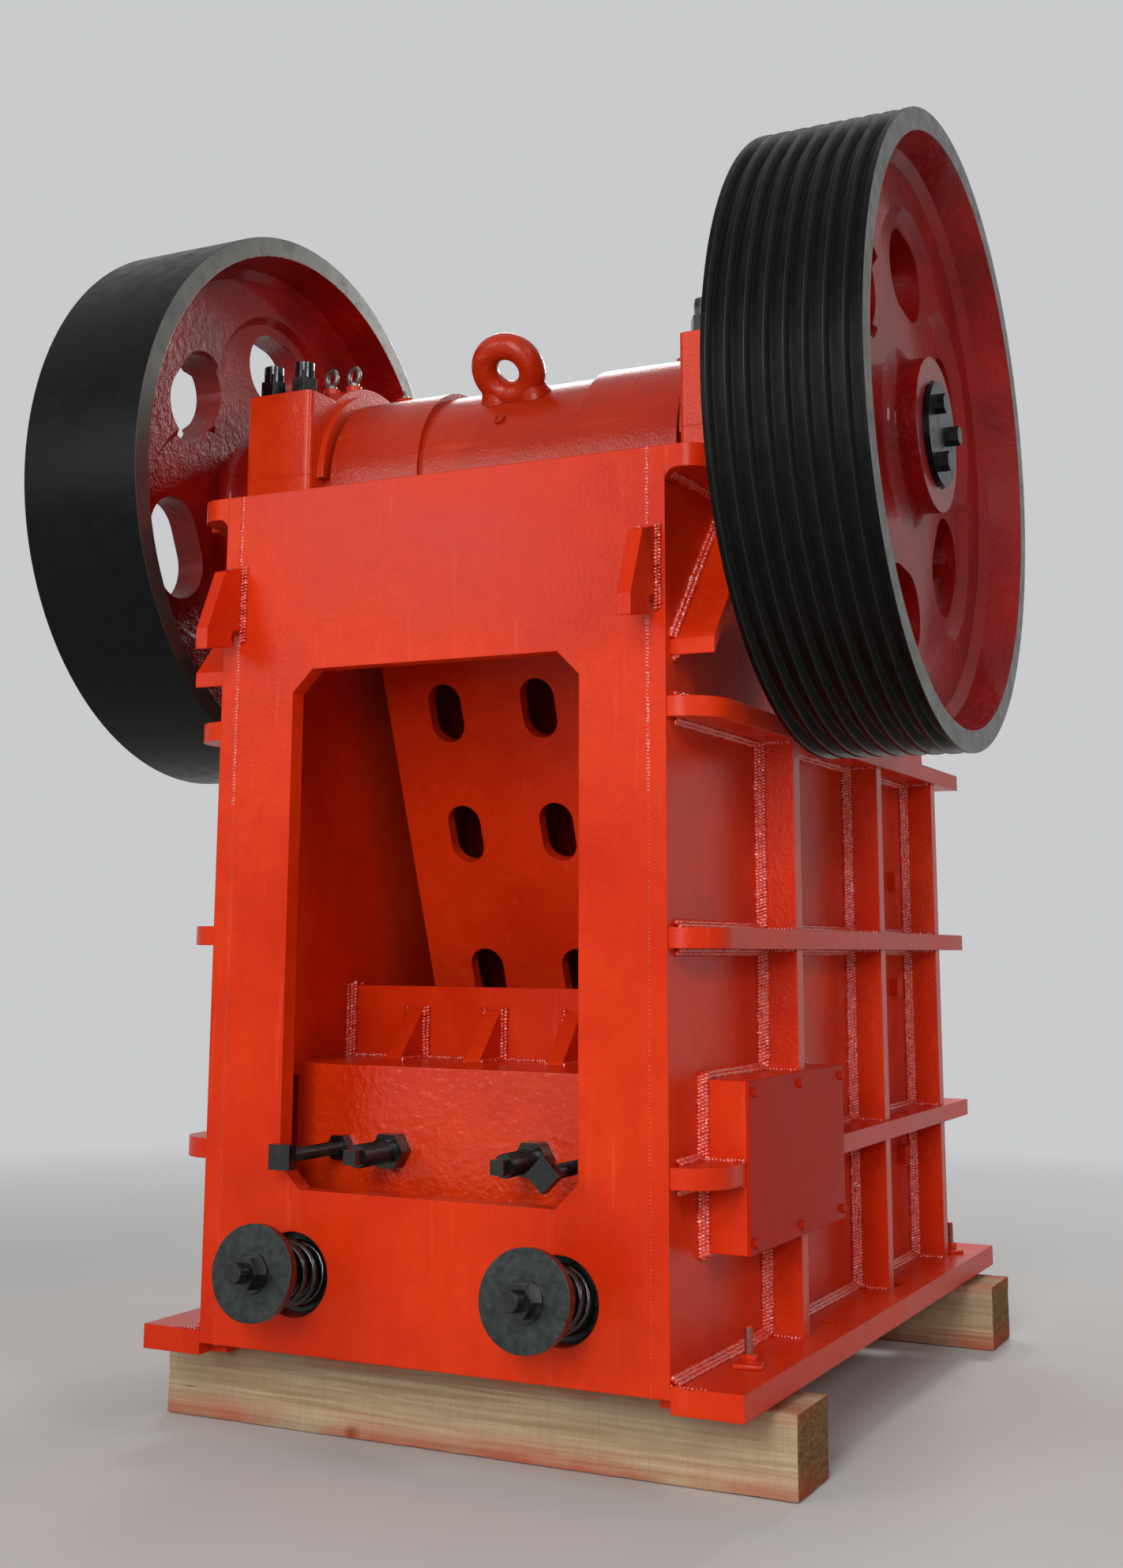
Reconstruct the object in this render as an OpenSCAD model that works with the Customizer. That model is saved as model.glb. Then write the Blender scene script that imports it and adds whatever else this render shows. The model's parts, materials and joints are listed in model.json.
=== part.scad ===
// Jaw crusher with a welded plate frame, swing jaw on an eccentric shaft, belt sheave and flywheel.
// Millimetres, Z up, floor at Z = 0. The rear (toggle) end faces -Y, the feed end faces +Y,
// the belt sheave is on +X and the flywheel on -X. Origin: bottom centre of the whole machine.

/* [Frame box] */
// outside width over the two side walls
frame_w = 1220; // [1120:1:1300]
// height of the rear wall
wall_h = 2084; // [2060:1:2110]
// length of the side walls behind the rear wall's outer face
frame_l = 2200; // [2100:1:2300]
// thickness of a side wall plate
side_t = 45; // [35:1:50]
// thickness of the rear wall plate
rear_t = 50; // [40:1:60]
// underside of the rear wall above the underside of the base flange
wall_lift = 28; // [10:1:40]
// distance of the front wall's inner face from the feed end of the side walls
front_set = 300; // [250:1:320]
// thickness of the front wall plate
front_t = 60; // [40:1:80]
// height of the front part of the side walls, at the feed mouth
mouth_h = 2000; // [1950:1:2040]
// radius of the round where a bearing seat leaves the side wall
wing_r = 30; // [10:1:34]
// reach of a bearing seat's rear end from the side wall
wing_w = 100; // [98:1:130]
// radius of the round corner at a bearing seat's rear end, seen from above
wing_c = 64; // [20:1:64]
// thickness of a bearing seat
wing_h = 55; // [40:1:80]
// distance of a lifting hook's plate from the outside of the side wall
hook_in = 56; // [40:1:80]

/* [Rear opening] */
// width of the opening in the rear wall
open_w = 788; // [700:1:820]
// sill of the opening above the rear wall's lower edge
open_z = 371; // [340:1:400]
// height of the opening
open_h = 1249; // [1200:1:1300]
// chamfer at the corners of the opening
open_c = 57; // [20:1:80]
// half spacing of the two tension rods
rod_x = 348; // [330:1:370]
// height of the rod holes' centres above the rear wall's lower edge
rod_z = 178; // [150:1:190]
// radius of a rod hole in the rear wall
rod_hole_r = 97; // [92:1:110]
// slope of the tension rods, falling toward the jaw
rod_a = 8; // [4:0.5:10]

/* [Ribs and flange] */
// reach of a horizontal rib from the side wall
rib_w = 109; // [80:1:120]
// thickness of a horizontal rib
rib_t = 47; // [30:1:60]
// underside of the lowest horizontal rib above the rear wall's lower edge
rib_z1 = 428; // [400:1:450]
// underside of the middle horizontal rib
rib_z2 = 941; // [900:1:980]
// underside of the top horizontal rib
rib_z3 = 1455; // [1400:1:1500]
// reach of a vertical rib from the side wall
vrib_w = 97; // [70:1:105]
// thickness of a vertical rib
vrib_t = 45; // [30:1:60]
// near face of the first vertical rib from the rear wall
vrib_y1 = 595; // [560:1:640]
// near face of the second vertical rib
vrib_y2 = 1328; // [1280:1:1380]
// distance of the third vertical rib's near face from the feed end of the side walls
vrib_end = 273; // [240:1:300]
// reach of the base flange from the side wall
flange_w = 166; // [140:1:200]
// thickness of the base flange
flange_t = 57; // [40:1:70]
// reach of the base flange past the feed end of the side walls
flange_over = 47; // [0:1:100]
// radius of the anchor holes in the base flange
anchor_r = 24; // [22:1:30]
// distance of the first anchor stud from the rear end of the base flange
anchor_first = 255; // [230:1:380]
// distance of the last anchor stud from the feed end of the base flange
anchor_last = 197; // [180:1:260]
// spacing of the two anchor holes at mid length
anchor_pitch = 586; // [500:1:640]
// near end of a cover box from the rear wall's outer face
box_y0 = 186; // [160:1:200]
// length of a cover box
box_l = 694; // [640:1:720]
// underside of a cover box above the rear wall's lower edge
box_z0 = 275; // [240:1:300]
// height of a cover box
box_h = 375; // [330:1:400]
// thickness of the slanting bracket under a bearing seat
brace_t = 25; // [16:1:40]

/* [Shaft and wheels] */
// height of the shaft axis above the rear wall's lower edge
shaft_h = 2203; // [2190:1:2215]
// distance of the shaft axis from the rear wall's outer face
shaft_y = 606; // [600:1:612]
// throw of the eccentric part of the shaft
throw = 15; // [12:1:18]
// radius of the main journals
journal_r = 110; // [90:1:118]
// radius of the eccentric part
ecc_r = 135; // [130:1:150]
// radius of each wheel
wheel_r = 792; // [760:1:800]
// width of each wheel's rim
rim_w = 366; // [362:1:380]
// gap between a bearing housing and the wheel beside it
wheel_gap = 22; // [18:1:40]
// depth of each wheel's rim at its faces
rim_d = 55; // [45:1:70]
// slope of the rim's inner side, as a fall from face to web
rim_draft = 20; // [0:1:30]
// inner face of the web's raised rim band from the rim's inner face
band_x = 133; // [120:1:140]
// thickness of the web at its raised rim band
band_t = 125; // [110:1:140]
// depth of the web's recess below the rim band, on each face
recess = 20; // [10:1:25]
// radius of each lobe of the recess
lobe_r = 300; // [280:1:310]
// distance of the lobes' centres from the shaft axis
lobe_c = 285; // [270:1:295]
// distance of the web openings' centres from the shaft axis
hole_c = 446; // [430:1:450]
// radius of each round end of a web opening
hole_r = 105; // [95:1:110]
// half distance between the round ends of a web opening
hole_s = 38; // [10:1:46]
// radius of each wheel's hub
hub_r = 194; // [180:1:210]
// length of each wheel's hub
hub_l = 313; // [290:1:330]
// radius of the round between hub and web
hub_round = 40; // [20:1:44]
// radius of a shaft end plate
plate_r = 131; // [120:1:140]
// number of belt grooves in the sheave
grooves = 8; // [6:1:8]
// spacing of the belt grooves
groove_p = 44.5; // [40:0.5:44.5]
// depth of the belt grooves
groove_d = 30; // [24:1:34]
// number of openings in each wheel's web
web_holes = 6; // [4:1:6]

/* [Bearings] */
// width of a bearing housing along the shaft
house_w = 210; // [190:1:215]
// length of a bearing housing
house_l = 690; // [660:1:710]
// height of a bearing cap's bolt pads above the shaft axis
cap_h = 240; // [220:1:250]
// radius of the round middle of a bearing cap
dome_r = 322; // [300:1:330]
// radius of the round underside of a bearing base
base_r = 270; // [250:1:290]
// radius of the seal ring beside the swing jaw
seal_r = 300; // [290:1:310]
// reach of the seal ring from the housing
seal_t = 16; // [8:1:20]
// length of a bolt pad along the frame
pad_l = 120; // [100:1:140]
// distance of a bearing housing from the inner face of the side wall
house_in = 25; // [15:1:35]
// radius of the bearing bore
house_r = 190; // [180:1:200]
// radius of a housing stud
stud_r = 27; // [18:1:32]

/* [Swing jaw] */
// gap between the pitman body and each side wall
jaw_side = 102; // [80:1:120]
// radius of the pitman head at its ends
head_r = 285; // [270:1:290]
// radius of the pitman head at mid width
head_mid_r = 270; // [260:1:280]
// half width of the middle part of the pitman head
head_step = 236; // [200:1:270]
// gap between the pitman head and each bearing housing
head_gap = 30; // [26:1:40]
// distance of the back plate's outer face from the eccentric axis
back_y = 237; // [230:1:245]
// length of the pitman below the eccentric axis
jaw_l = 2120; // [2080:1:2140]
// width of the discharge gap between the two jaw plates
gape = 125; // [100:1:160]
// lean of the lifting eye to the vertical
eye_a = 38; // [30:1:50]
// depth of the pitman body square to its back plate, from its back to its jaw seat
body_d = 500; // [480:1:508]
// thickness of the pitman back plate
back_t = 40; // [30:1:50]
// radius of each round end of a slot in the back plate
slot_r = 50; // [30:1:60]
// half distance between the round ends of a slot
slot_s = 32; // [10:1:45]
// thickness of each jaw plate with its teeth
plate_t = 90; // [70:1:100]
// least spacing of the teeth
tooth_p = 72; // [66:1:90]
// height of a tooth
tooth_d = 38; // [25:1:45]
// thickness of a cheek plate
cheek_t = 30; // [20:1:34]
// gap between the moving jaw plate and each cheek plate
cheek_gap = 20; // [10:1:30]

/* [Toggle and adjuster] */
// thickness of the toggle plate
toggle_t = 60; // [45:1:70]
// width of the toggle plate
toggle_w = 700; // [640:1:740]
// underside of the adjusting block above the rear wall's lower edge
block_z = 343; // [330:1:350]
// height of the adjusting block
block_h = 307; // [280:1:320]
// distance of the adjusting block from the rear wall
block_gap = 155; // [120:1:170]
// depth of the adjusting block
block_d = 411; // [380:1:430]
// height of the upright plate on the adjusting block
upright_h = 186; // [150:1:200]
// thickness of a gusset on the adjusting block
gusset_t = 45; // [20:1:60]
// radius of the tension rods
rod_r = 22; // [14:1:24]
// distance of a tension rod's eye from the rear wall
rod_l = 1130; // [1100:1:1150]
// radius of a spring coil's centre line
coil_r = 68; // [60:1:72]
// radius of the spring wire
wire_r = 11; // [8:1:13]
// radius of a spring plate
disc_r = 108; // [100:1:115]
// thickness of a spring plate
disc_t = 22; // [12:1:30]
// distance of a spring plate from the rear wall, along the rod
spring_l = 150; // [130:1:170]
// length of a tension rod outside its spring plate
rod_end = 96; // [80:1:110]
// number of turns of a spring
turns = 5; // [4:1:6]

/* [Stand] */
// height of a timber
timber_h = 184; // [150:1:200]
// depth of a timber
timber_d = 220; // [180:1:240]
// reach of a timber past the base flange
timber_over = 64; // [20:1:100]
// thickness of the pads between timber and flange
pad_t = 18; // [10:1:30]

/* [Hidden] */
$fn = 96;
flange_z = timber_h + pad_t;
z0 = flange_z + wall_lift;
side_z = flange_z + flange_t;
xo = frame_w/2;
xi = xo - side_t;
shaft_z = z0 + shaft_h;
seat_z = z0 + wall_h;
ecc_z = shaft_z - throw;
flange_l = frame_l + flange_over;
front_y = frame_l - front_set;
vrib_y3 = frame_l - vrib_end;
box_y1 = box_y0 + box_l;
box_z1 = box_z0 + box_h;
// housings and wheels stand outward of the side walls
hx = xi - house_in;
wheel_x = hx + house_w + wheel_gap;
seat_end = shaft_y + house_l/2 + 60;
mid_hole = flange_l/2;
anchor_ys = [anchor_first, mid_hole - anchor_pitch/2, mid_hole + anchor_pitch/2, flange_l - anchor_last];
timber_y1 = 210;
timber_y2 = flange_l - timber_d - 72;
timber_l = 2*(xo + flange_w + timber_over);
rear_y = -(spring_l + rear_t/2 + rod_end)*cos(rod_a) + rear_t/2 - rod_r*sin(rod_a);
mid_y = (rear_y + flange_l)/2;
// the adjusting block lies between the side walls, behind the rear wall
block_x = xi - 1;
block_y = rear_t + block_gap;
toggle_out = 6;
ty0 = block_y + block_d + toggle_out;
tz0 = z0 + block_z + block_h/2 - 5;
// the pitman hangs so that the discharge gap is as wide as stated
jaw_w = 2*(xi - jaw_side);
head_w = 2*(hx - head_gap);
jaw_plate_w = 2*(xi - cheek_t - cheek_gap);
jaw_y = body_d - back_y;
jaw_face = jaw_y + plate_t;
jaw_a = atan2(jaw_l, jaw_face)
  - acos((front_y - plate_t - gape - shaft_y)/sqrt(pow(jaw_face, 2) + pow(jaw_l, 2)));
// a point of the frame (y, z) as the hanging pitman sees it, and back
function in_jaw(p) = [(p[0] - shaft_y)*cos(jaw_a) + (p[1] - ecc_z)*sin(jaw_a),
  -(p[0] - shaft_y)*sin(jaw_a) + (p[1] - ecc_z)*cos(jaw_a)];
function from_jaw(p) = [shaft_y + p[0]*cos(jaw_a) - p[1]*sin(jaw_a),
  ecc_z + p[0]*sin(jaw_a) + p[1]*cos(jaw_a)];
pin_r = 22;
eye_r = pin_r + throw + 7;
pin = in_jaw([rear_t/2 + rod_l*cos(rod_a), z0 + rod_z - rod_l*sin(rod_a) - throw]);
seat_local = [-back_y - 60, -jaw_l + 358];
seat_at = from_jaw(seat_local);
tilt = atan2(seat_at[1] - tz0, seat_at[0] - ty0);
tl = sqrt(pow(seat_at[1] - tz0, 2) + pow(seat_at[0] - ty0, 2)) - toggle_t/2 - throw - 8;

red = [0.80, 0.17, 0.11];
crimson = [0.62, 0.09, 0.09];
black = [0.06, 0.06, 0.07];
steel = [0.55, 0.55, 0.54];
wood = [0.72, 0.55, 0.36];

// Sizes in Y are measured from the outer face of the rear wall.
module at_wall() translate([0, -mid_y, 0]) children();

// A flat shape in X and Z, extruded from y toward +Y.
module xz(y, t) translate([0, y + t, 0]) rotate([90, 0, 0]) linear_extrude(t) children();

// A flat shape in Y and Z, extruded from x toward +X.
module yz(x, t) translate([x, 0, 0]) rotate([90, 0, 90]) linear_extrude(t) children();

module on_left() mirror([1, 0, 0]) children();
module both() { children(); mirror([1, 0, 0]) children(); }

// A round bar along X, Y or Z.
module bar_x(r, x, l) translate([x, 0, 0]) rotate([0, 90, 0]) cylinder(r = r, h = l);
module bar_y(r, y, l) translate([0, y + l, 0]) rotate([90, 0, 0]) cylinder(r = r, h = l);
module nut_y(r, y, l) translate([0, y + l, 0]) rotate([90, 0, 0]) cylinder(r = r, h = l, $fn = 6);
module nut_z(r, z, l) translate([0, 0, z]) cylinder(r = r, h = l, $fn = 6);
module nut_x(r, x, l) translate([x, 0, 0]) rotate([0, 90, 0]) cylinder(r = r, h = l, $fn = 6);

// REAR WALL

module chamfered(w, h, c) polygon([[-w/2 + c, 0], [w/2 - c, 0], [w/2, c], [w/2, h - c],
  [w/2 - c, h], [-w/2 + c, h], [-w/2, h - c], [-w/2, c]]);

module rear_wall() color(red) at_wall() xz(0, rear_t) difference() {
  translate([-xi, z0]) square([2*xi, wall_h]);
  translate([0, z0 + open_z]) chamfered(open_w, open_h, open_c);
  for (s = [-1, 1]) translate([s*rod_x, z0 + rod_z]) circle(r = rod_hole_r);
}

// SIDE WALLS

// The walls' rear ends lie flush with the rear wall and hide its edges.
module right_side_wall() color(red) at_wall() yz(xi, side_t) difference() {
  polygon([[0, z0], [rear_t, z0], [rear_t, side_z], [frame_l, side_z], [frame_l, z0 + mouth_h],
    [seat_end + 190, z0 + mouth_h], [seat_end + 80, seat_z], [0, seat_z]]);
  translate([shaft_y, shaft_z]) circle(r = base_r + 0.3);
}
module left_side_wall() on_left() right_side_wall();

// FRONT WALL

module front_wall() color(red) at_wall()
  translate([-xi, front_y, side_z]) cube([2*xi, front_t, z0 + mouth_h - side_z]);

module front_wall_ribs() color(red) at_wall() {
  for (z = [rib_z1, rib_z2, rib_z3, mouth_h - rib_t - 60])
    translate([-xi, front_y + front_t, z0 + z]) cube([2*xi, frame_l - front_y - front_t - 20, rib_t]);
  for (x = [-1, 0, 1]) translate([x*xi/2 - vrib_t/2, front_y + front_t, side_z])
    cube([vrib_t, frame_l - front_y - front_t - 40, z0 + mouth_h - side_z - 80]);
}

// RIBS AND FLANGES

// A horizontal rib leaves the rear wall's edge in a quarter round.
module rib_plan(y1) {
  translate([xo, 4 + rib_w]) square([rib_w, y1 - rib_w - 4]);
  intersection() {
    translate([xo, 4 + rib_w]) circle(r = rib_w);
    translate([xo, 4]) square([rib_w, rib_w]);
  }
}

module right_horizontal_ribs() color(red) at_wall() {
  difference() {
    for (z = [rib_z1, rib_z2, rib_z3]) translate([0, 0, z0 + z]) linear_extrude(rib_t)
      rib_plan(frame_l + 20);
    translate([xo - 1, box_y0 - 1, z0 + box_z0]) cube([rib_w + 2, box_y1 - box_y0 + 2, box_z1 - box_z0]);
  }
}
module left_horizontal_ribs() on_left() right_horizontal_ribs();

module right_vertical_ribs() color(red) at_wall() difference() {
  for (y = [vrib_y1, vrib_y2, vrib_y3]) translate([xo, y, side_z])
    cube([vrib_w, vrib_t, z0 + rib_z3 - side_z]);
  for (z = [rib_z1, rib_z2]) translate([xo - 1, 0, z0 + z]) cube([vrib_w + 2, frame_l, rib_t]);
  translate([xo - 1, box_y0 - 1, z0 + box_z0]) cube([vrib_w + 2, box_y1 - box_y0 + 2, box_z1 - box_z0]);
}
module left_vertical_ribs() on_left() right_vertical_ribs();

module right_base_flange() color(red) at_wall() translate([0, 0, flange_z]) linear_extrude(flange_t)
  difference() {
    union() {
      translate([xi, rear_t]) square([side_t + flange_w, flange_l - rear_t]);
      translate([xo, 0]) square([flange_w, flange_l]);
    }
    for (y = anchor_ys) translate([xo + flange_w*0.5, y]) circle(r = anchor_r);
  }
module left_base_flange() on_left() right_base_flange();

// COVER BOXES

module cover_boxes() color(red) at_wall() both() translate([xo, box_y0, z0 + box_z0]) difference() {
  cube([rib_w, box_y1 - box_y0, box_z1 - box_z0]);
  translate([-1, 16, 16]) cube([rib_w + 2, box_y1 - box_y0 - 32, box_z1 - box_z0 - 32]);
}

module cover_plates() color(red) at_wall() both() {
  translate([xo + rib_w, box_y0, z0 + box_z0]) cube([8, box_y1 - box_y0, box_z1 - box_z0]);
  for (y = [box_y0 + 25, (box_y0 + box_y1)/2, box_y1 - 25], z = [box_z0 + 25, box_z1 - 25])
    translate([0, y, z0 + z]) nut_x(11, xo + rib_w + 8, 8);
}

// LIFTING HOOKS AND BEARING SEATS

module lifting_hooks() color(red) at_wall() both() yz(xo - hook_in, 34) translate([0, z0 + wall_h])
  difference() {
    polygon([[0, -188], [-78, -212], [-146, -369], [-146, -419], [-46, -402], [0, -384]]);
    translate([-20, -378]) circle(r = 24);
  }

// A bearing seat's plan, with a round corner at its rear end.
module seat_plan() {
  translate([xo, 0]) square([wing_w - wing_c, rear_t + wing_c]);
  translate([xo, wing_c]) square([wing_w, rear_t]);
  intersection() {
    translate([xo + wing_w - wing_c, wing_c]) circle(r = wing_c);
    translate([xo, 0]) square([wing_w, 2*wing_c]);
  }
  translate([xo, rear_t + wing_c]) square([hx + house_w - xo - 5, seat_end - rear_t - wing_c]);
}

// The round under a bearing seat, at the rear wall.
module seat_round() xz(0, rear_t) translate([xo, seat_z - wing_h - wing_r]) difference() {
  square([wing_r, wing_r + 0.5]);
  translate([wing_r, 0]) circle(r = wing_r);
}

module bearing_seats() color(red) at_wall() both() {
  difference() {
    union() {
      translate([0, 0, seat_z - wing_h]) linear_extrude(wing_h) seat_plan();
      // slanting brace from the wall up to the seat
      yz(xo, wing_w + 6) translate([0, seat_z - wing_h]) polygon([[30, -432], [30 + 432/tan(49), 0],
        [30 + (432 - brace_t/cos(49))/tan(49), 0], [30, brace_t/cos(49) - 432]]);
    }
    translate([0, shaft_y, shaft_z]) bar_x(base_r + 0.3, xo - 1, house_w);
  }
  seat_round();
}

// BEARING HOUSINGS

// The plan of a housing, with round corners.
module house_plan(r) {
  l = house_l/2;
  translate([hx, shaft_y]) {
    translate([r, -l]) square([house_w - 2*r, 2*l]);
    translate([0, -l + r]) square([house_w, 2*l - 2*r]);
    for (x = [r, house_w - r], y = [-l + r, l - r]) translate([x, y]) circle(r = r);
  }
}

module seal_ring(r) translate([0, shaft_y, shaft_z]) bar_x(r, hx - seal_t, seal_t + 10);

module half_space(up) translate([0, shaft_y - 600, up ? shaft_z : shaft_z - 600]) cube([1200, 1200, 600]);

module bearing_base_right() at_wall() difference() {
  union() {
    translate([0, 0, seat_z]) linear_extrude(shaft_z - seat_z) house_plan(18);
    intersection() {
      union() {
        translate([0, shaft_y, shaft_z]) bar_x(base_r, hx, house_w);
        seal_ring(base_r - 8);
      }
      half_space(false);
    }
  }
  translate([0, shaft_y, shaft_z]) bar_x(house_r, hx - seal_t - 1, house_w + seal_t + 2);
}
module right_bearing_base() color(red) bearing_base_right();
module left_bearing_base() color(red) on_left() bearing_base_right();

// A cap has bolt pads at both ends and a round middle that stands above them.
module bearing_cap_right() at_wall() difference() {
  union() {
    intersection() {
      translate([0, 0, shaft_z]) linear_extrude(cap_h) house_plan(18);
      translate([0, shaft_y, shaft_z]) yz(hx - 1, house_w + 2) union() {
        for (s = [-1, 1]) polygon([[s*house_l/2, 0], [s*house_l/2, cap_h],
          [s*(house_l/2 - pad_l), cap_h], [s*(house_l/2 - pad_l - 30), cap_h - 40],
          [s*60, cap_h - 40], [s*60, 0]]);
      }
    }
    intersection() {
      union() {
        translate([0, shaft_y, shaft_z]) bar_x(dome_r, hx, house_w);
        seal_ring(seal_r);
      }
      half_space(true);
    }
    at_eyebolts() translate([0, 0, -24]) cylinder(r = 22, h = 24);
  }
  translate([0, shaft_y, shaft_z]) bar_x(house_r, hx - seal_t - 1, house_w + seal_t + 2);
}
module right_bearing_cap() color(red) bearing_cap_right();
module left_bearing_cap() color(red) on_left() bearing_cap_right();

module bearing_studs() color(black) at_wall() both()
  for (x = [hx + 54, hx + house_w - 54], y = [-1, 1])
    translate([x, shaft_y + y*(house_l/2 - pad_l/2 + 10), shaft_z + cap_h]) {
      nut_z(38, 0, 46);
      translate([0, 0, 46]) nut_z(30, 0, 22);
      cylinder(r = stud_r, h = 92);
    }

// Two eyebolts stand on small bosses on the round of each cap.
module at_eyebolts() for (p = [[74, -126], [28, -80]])
  translate([hx + p[0], shaft_y + p[1], shaft_z + sqrt(pow(dome_r, 2) - pow(p[1], 2)) + 9]) children();

module eyebolts() color(steel) at_wall() both() at_eyebolts() {
  cylinder(r = 15, h = 10);
  translate([0, 0, 33]) rotate([90, 0, 20]) rotate_extrude() translate([23, 0]) circle(r = 6.5, $fn = 32);
}

// ADJUSTING BLOCK AND TOGGLE

// The block's rear corners are cut back under its top.
module adjusting_block() color(red) at_wall() difference() {
  translate([-block_x, block_y, z0 + block_z]) cube([2*block_x, block_d, block_h]);
  both() translate([block_x - 82, block_y - 1, z0 + block_z - 1]) cube([83, 80, block_h - 29]);
  translate([0, ty0, tz0]) bar_x(toggle_t/2 + 0.3, -block_x - 1, 2*block_x + 2);
}

module block_guides() color(red) at_wall() both()
  translate([xi - 60, block_y, z0 + block_z - 45]) cube([60, block_d, 45]);

// An upright plate on the block, with four slanting gussets on its rear side.
module seat_bracket() color(red) at_wall() translate([0, block_y, z0 + block_z + block_h]) {
  back = block_d - 40;
  translate([-xi, back, 0]) cube([2*xi, 40, upright_h]);
  for (x = [-3, -1, 1, 3]) yz(x*xi*0.207 - gusset_t/2, gusset_t)
    polygon([[back - 126, 0], [back, 0], [back, upright_h - 58], [back - 12, upright_h - 58], [back - 126, 6]]);
}

// A long square-headed screw and a thick stud in each pair.
module adjusting_screws() color(black) at_wall() for (s = [-1, 1]) {
  translate([s*(open_w/2 - 50), 0, z0 + block_z + 109]) {
    bar_y(15, -52, block_y + 52);
    nut_y(33, block_y - 30, 30);
    rotate([0, s > 0 ? 45 : 0, 0]) translate([-29, -78, -29]) cube([58, 30, 58]);
  }
  translate([s*(open_w/2 - 199), 0, z0 + block_z + 109]) {
    bar_y(26, 26, block_y - 26);
    nut_y(46, block_y - 44, 44);
    translate([-17, -6, -17]) cube([34, 34, 34]);
  }
}

module toggle_plate() color(steel) at_wall() translate([-toggle_w/2, ty0, tz0]) rotate([tilt, 0, 0]) {
  translate([0, 0, -toggle_t/2]) cube([toggle_w, tl, toggle_t]);
  rotate([0, 90, 0]) cylinder(r = toggle_t/2, h = toggle_w);
  translate([0, tl, 0]) rotate([0, 90, 0]) cylinder(r = toggle_t/2, h = toggle_w);
}

// TENSION RODS

// Along a rod from the middle of its hole in the rear wall, away from the jaw in -Y.
module at_rod() at_wall() translate([rod_x, rear_t/2, z0 + rod_z]) rotate([-rod_a, 0, 0]) children();

plate_y = -spring_l - rear_t/2;
seat_y = rear_t/2 - 10;

module tension_rods() color(black) both() at_rod() {
  bar_y(rod_r, plate_y - rod_end, rod_l - eye_r - 8 - plate_y + rod_end);
  bar_y(46, plate_y - disc_t - 8.3, 8);
  nut_y(40, plate_y - disc_t - 40.3, 32);
  translate([0, rod_l, 0]) difference() {
    bar_x(eye_r + 22, -26, 52);
    bar_x(eye_r, -27, 54);
  }
}

module spring_plates() color(black) {
  both() at_rod() difference() {
    union() {
      bar_y(disc_r, plate_y - disc_t, disc_t);
      bar_y(coil_r - wire_r - 2, plate_y - 1, 18);
    }
    bar_y(rod_r + 1, plate_y - disc_t - 1, 60);
  }
  both() difference() {
    union() {
      at_wall() translate([rod_x - 130, rear_t, z0 + rod_z - 135]) cube([260, 18, 270]);
      at_rod() bar_y(rod_hole_r - 10, seat_y, 34);
    }
    at_rod() bar_y(rod_r + 3, seat_y - 1, 60);
  }
}

// A coil spring as a wire swept along a helix between its two plates.
wire_l = seat_y - plate_y - 2*wire_r - 0.6;
function along(t) = plate_y + wire_r + 0.3 + wire_l*min(1, max(0, (t - 0.6)/(turns - 1.2)));
function wire_point(t, b) = [(coil_r + wire_r*cos(b))*cos(360*t), along(t) + wire_r*sin(b),
  (coil_r + wire_r*cos(b))*sin(360*t)];

module tension_springs() color(black) both() at_rod() {
  n = turns*16;
  k = 8;
  polyhedron(points = [for (i = [0:n], j = [0:k - 1]) wire_point(i/16, j*360/k)],
    faces = concat([[for (j = [0:k - 1]) k - 1 - j]],
      [for (i = [0:n - 1], j = [0:k - 1]) [i*k + j, i*k + (j + 1)%k, (i + 1)*k + (j + 1)%k, (i + 1)*k + j]],
      [[for (j = [0:k - 1]) n*k + j]]));
}

// JAW PLATES

// Teeth across the width, as one flat outline with its back on y = 0.
module toothed(w, t, d) {
  n = floor(w/tooth_p);
  polygon(concat([[-w/2, 0], [-w/2, t - d]],
    [for (i = [0:n - 1]) each [[-w/2 + (i + 0.25)*w/n, t - d], [-w/2 + (i + 0.42)*w/n, t],
      [-w/2 + (i + 0.58)*w/n, t], [-w/2 + (i + 0.75)*w/n, t - d]]], [[w/2, t - d], [w/2, 0]]));
}

module fixed_jaw_plate() color(steel) at_wall() translate([0, front_y, side_z + 20]) mirror([0, 1, 0])
  linear_extrude(z0 + mouth_h - side_z - 60) toothed(2*xi - 70, plate_t, tooth_d);

module cheek_plates() color(steel) at_wall() both() yz(xi - cheek_t, cheek_t)
  translate([front_y - plate_t - 4, z0]) polygon([[-476, 700], [0, 560], [0, mouth_h - 40],
    [-676, mouth_h - 40], [-826, mouth_h - 250]]);

module liner_bolts() color(red) at_wall() both() for (p = [[117, 1147], [122, 831], [85, 337]])
  translate([xo, front_y - p[0] - 26, z0 + p[1] - 26]) cube([24, 52, 52]);

// ANCHORS AND STAND

module anchor_bolts() color(black) at_wall() both() for (y = [anchor_ys[0], anchor_ys[3]])
  translate([xo + flange_w*0.5, y, side_z]) {
    translate([-42, -42, 0]) cube([84, 84, 14]);
    translate([0, 0, 14]) nut_z(38, 0, 34);
    translate([0, 0, 2 - flange_t]) cylinder(r = anchor_r - 4, h = flange_t + 110);
  }

module foot_pads() color(red) at_wall() both() for (y = [timber_y1, timber_y2])
  translate([xi, y + 10, timber_h]) cube([side_t + flange_w - 30, timber_d - 20, pad_t]);

module rear_timber() color(wood) at_wall()
  translate([-timber_l/2 - 20, timber_y1, 0]) cube([timber_l, timber_d, timber_h]);
module front_timber() color(wood) at_wall()
  translate([-timber_l/2, timber_y2, 0]) cube([timber_l, timber_d, timber_h]);

// SHAFT AND WHEELS

module at_shaft() at_wall() translate([0, shaft_y, shaft_z]) children();

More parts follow.
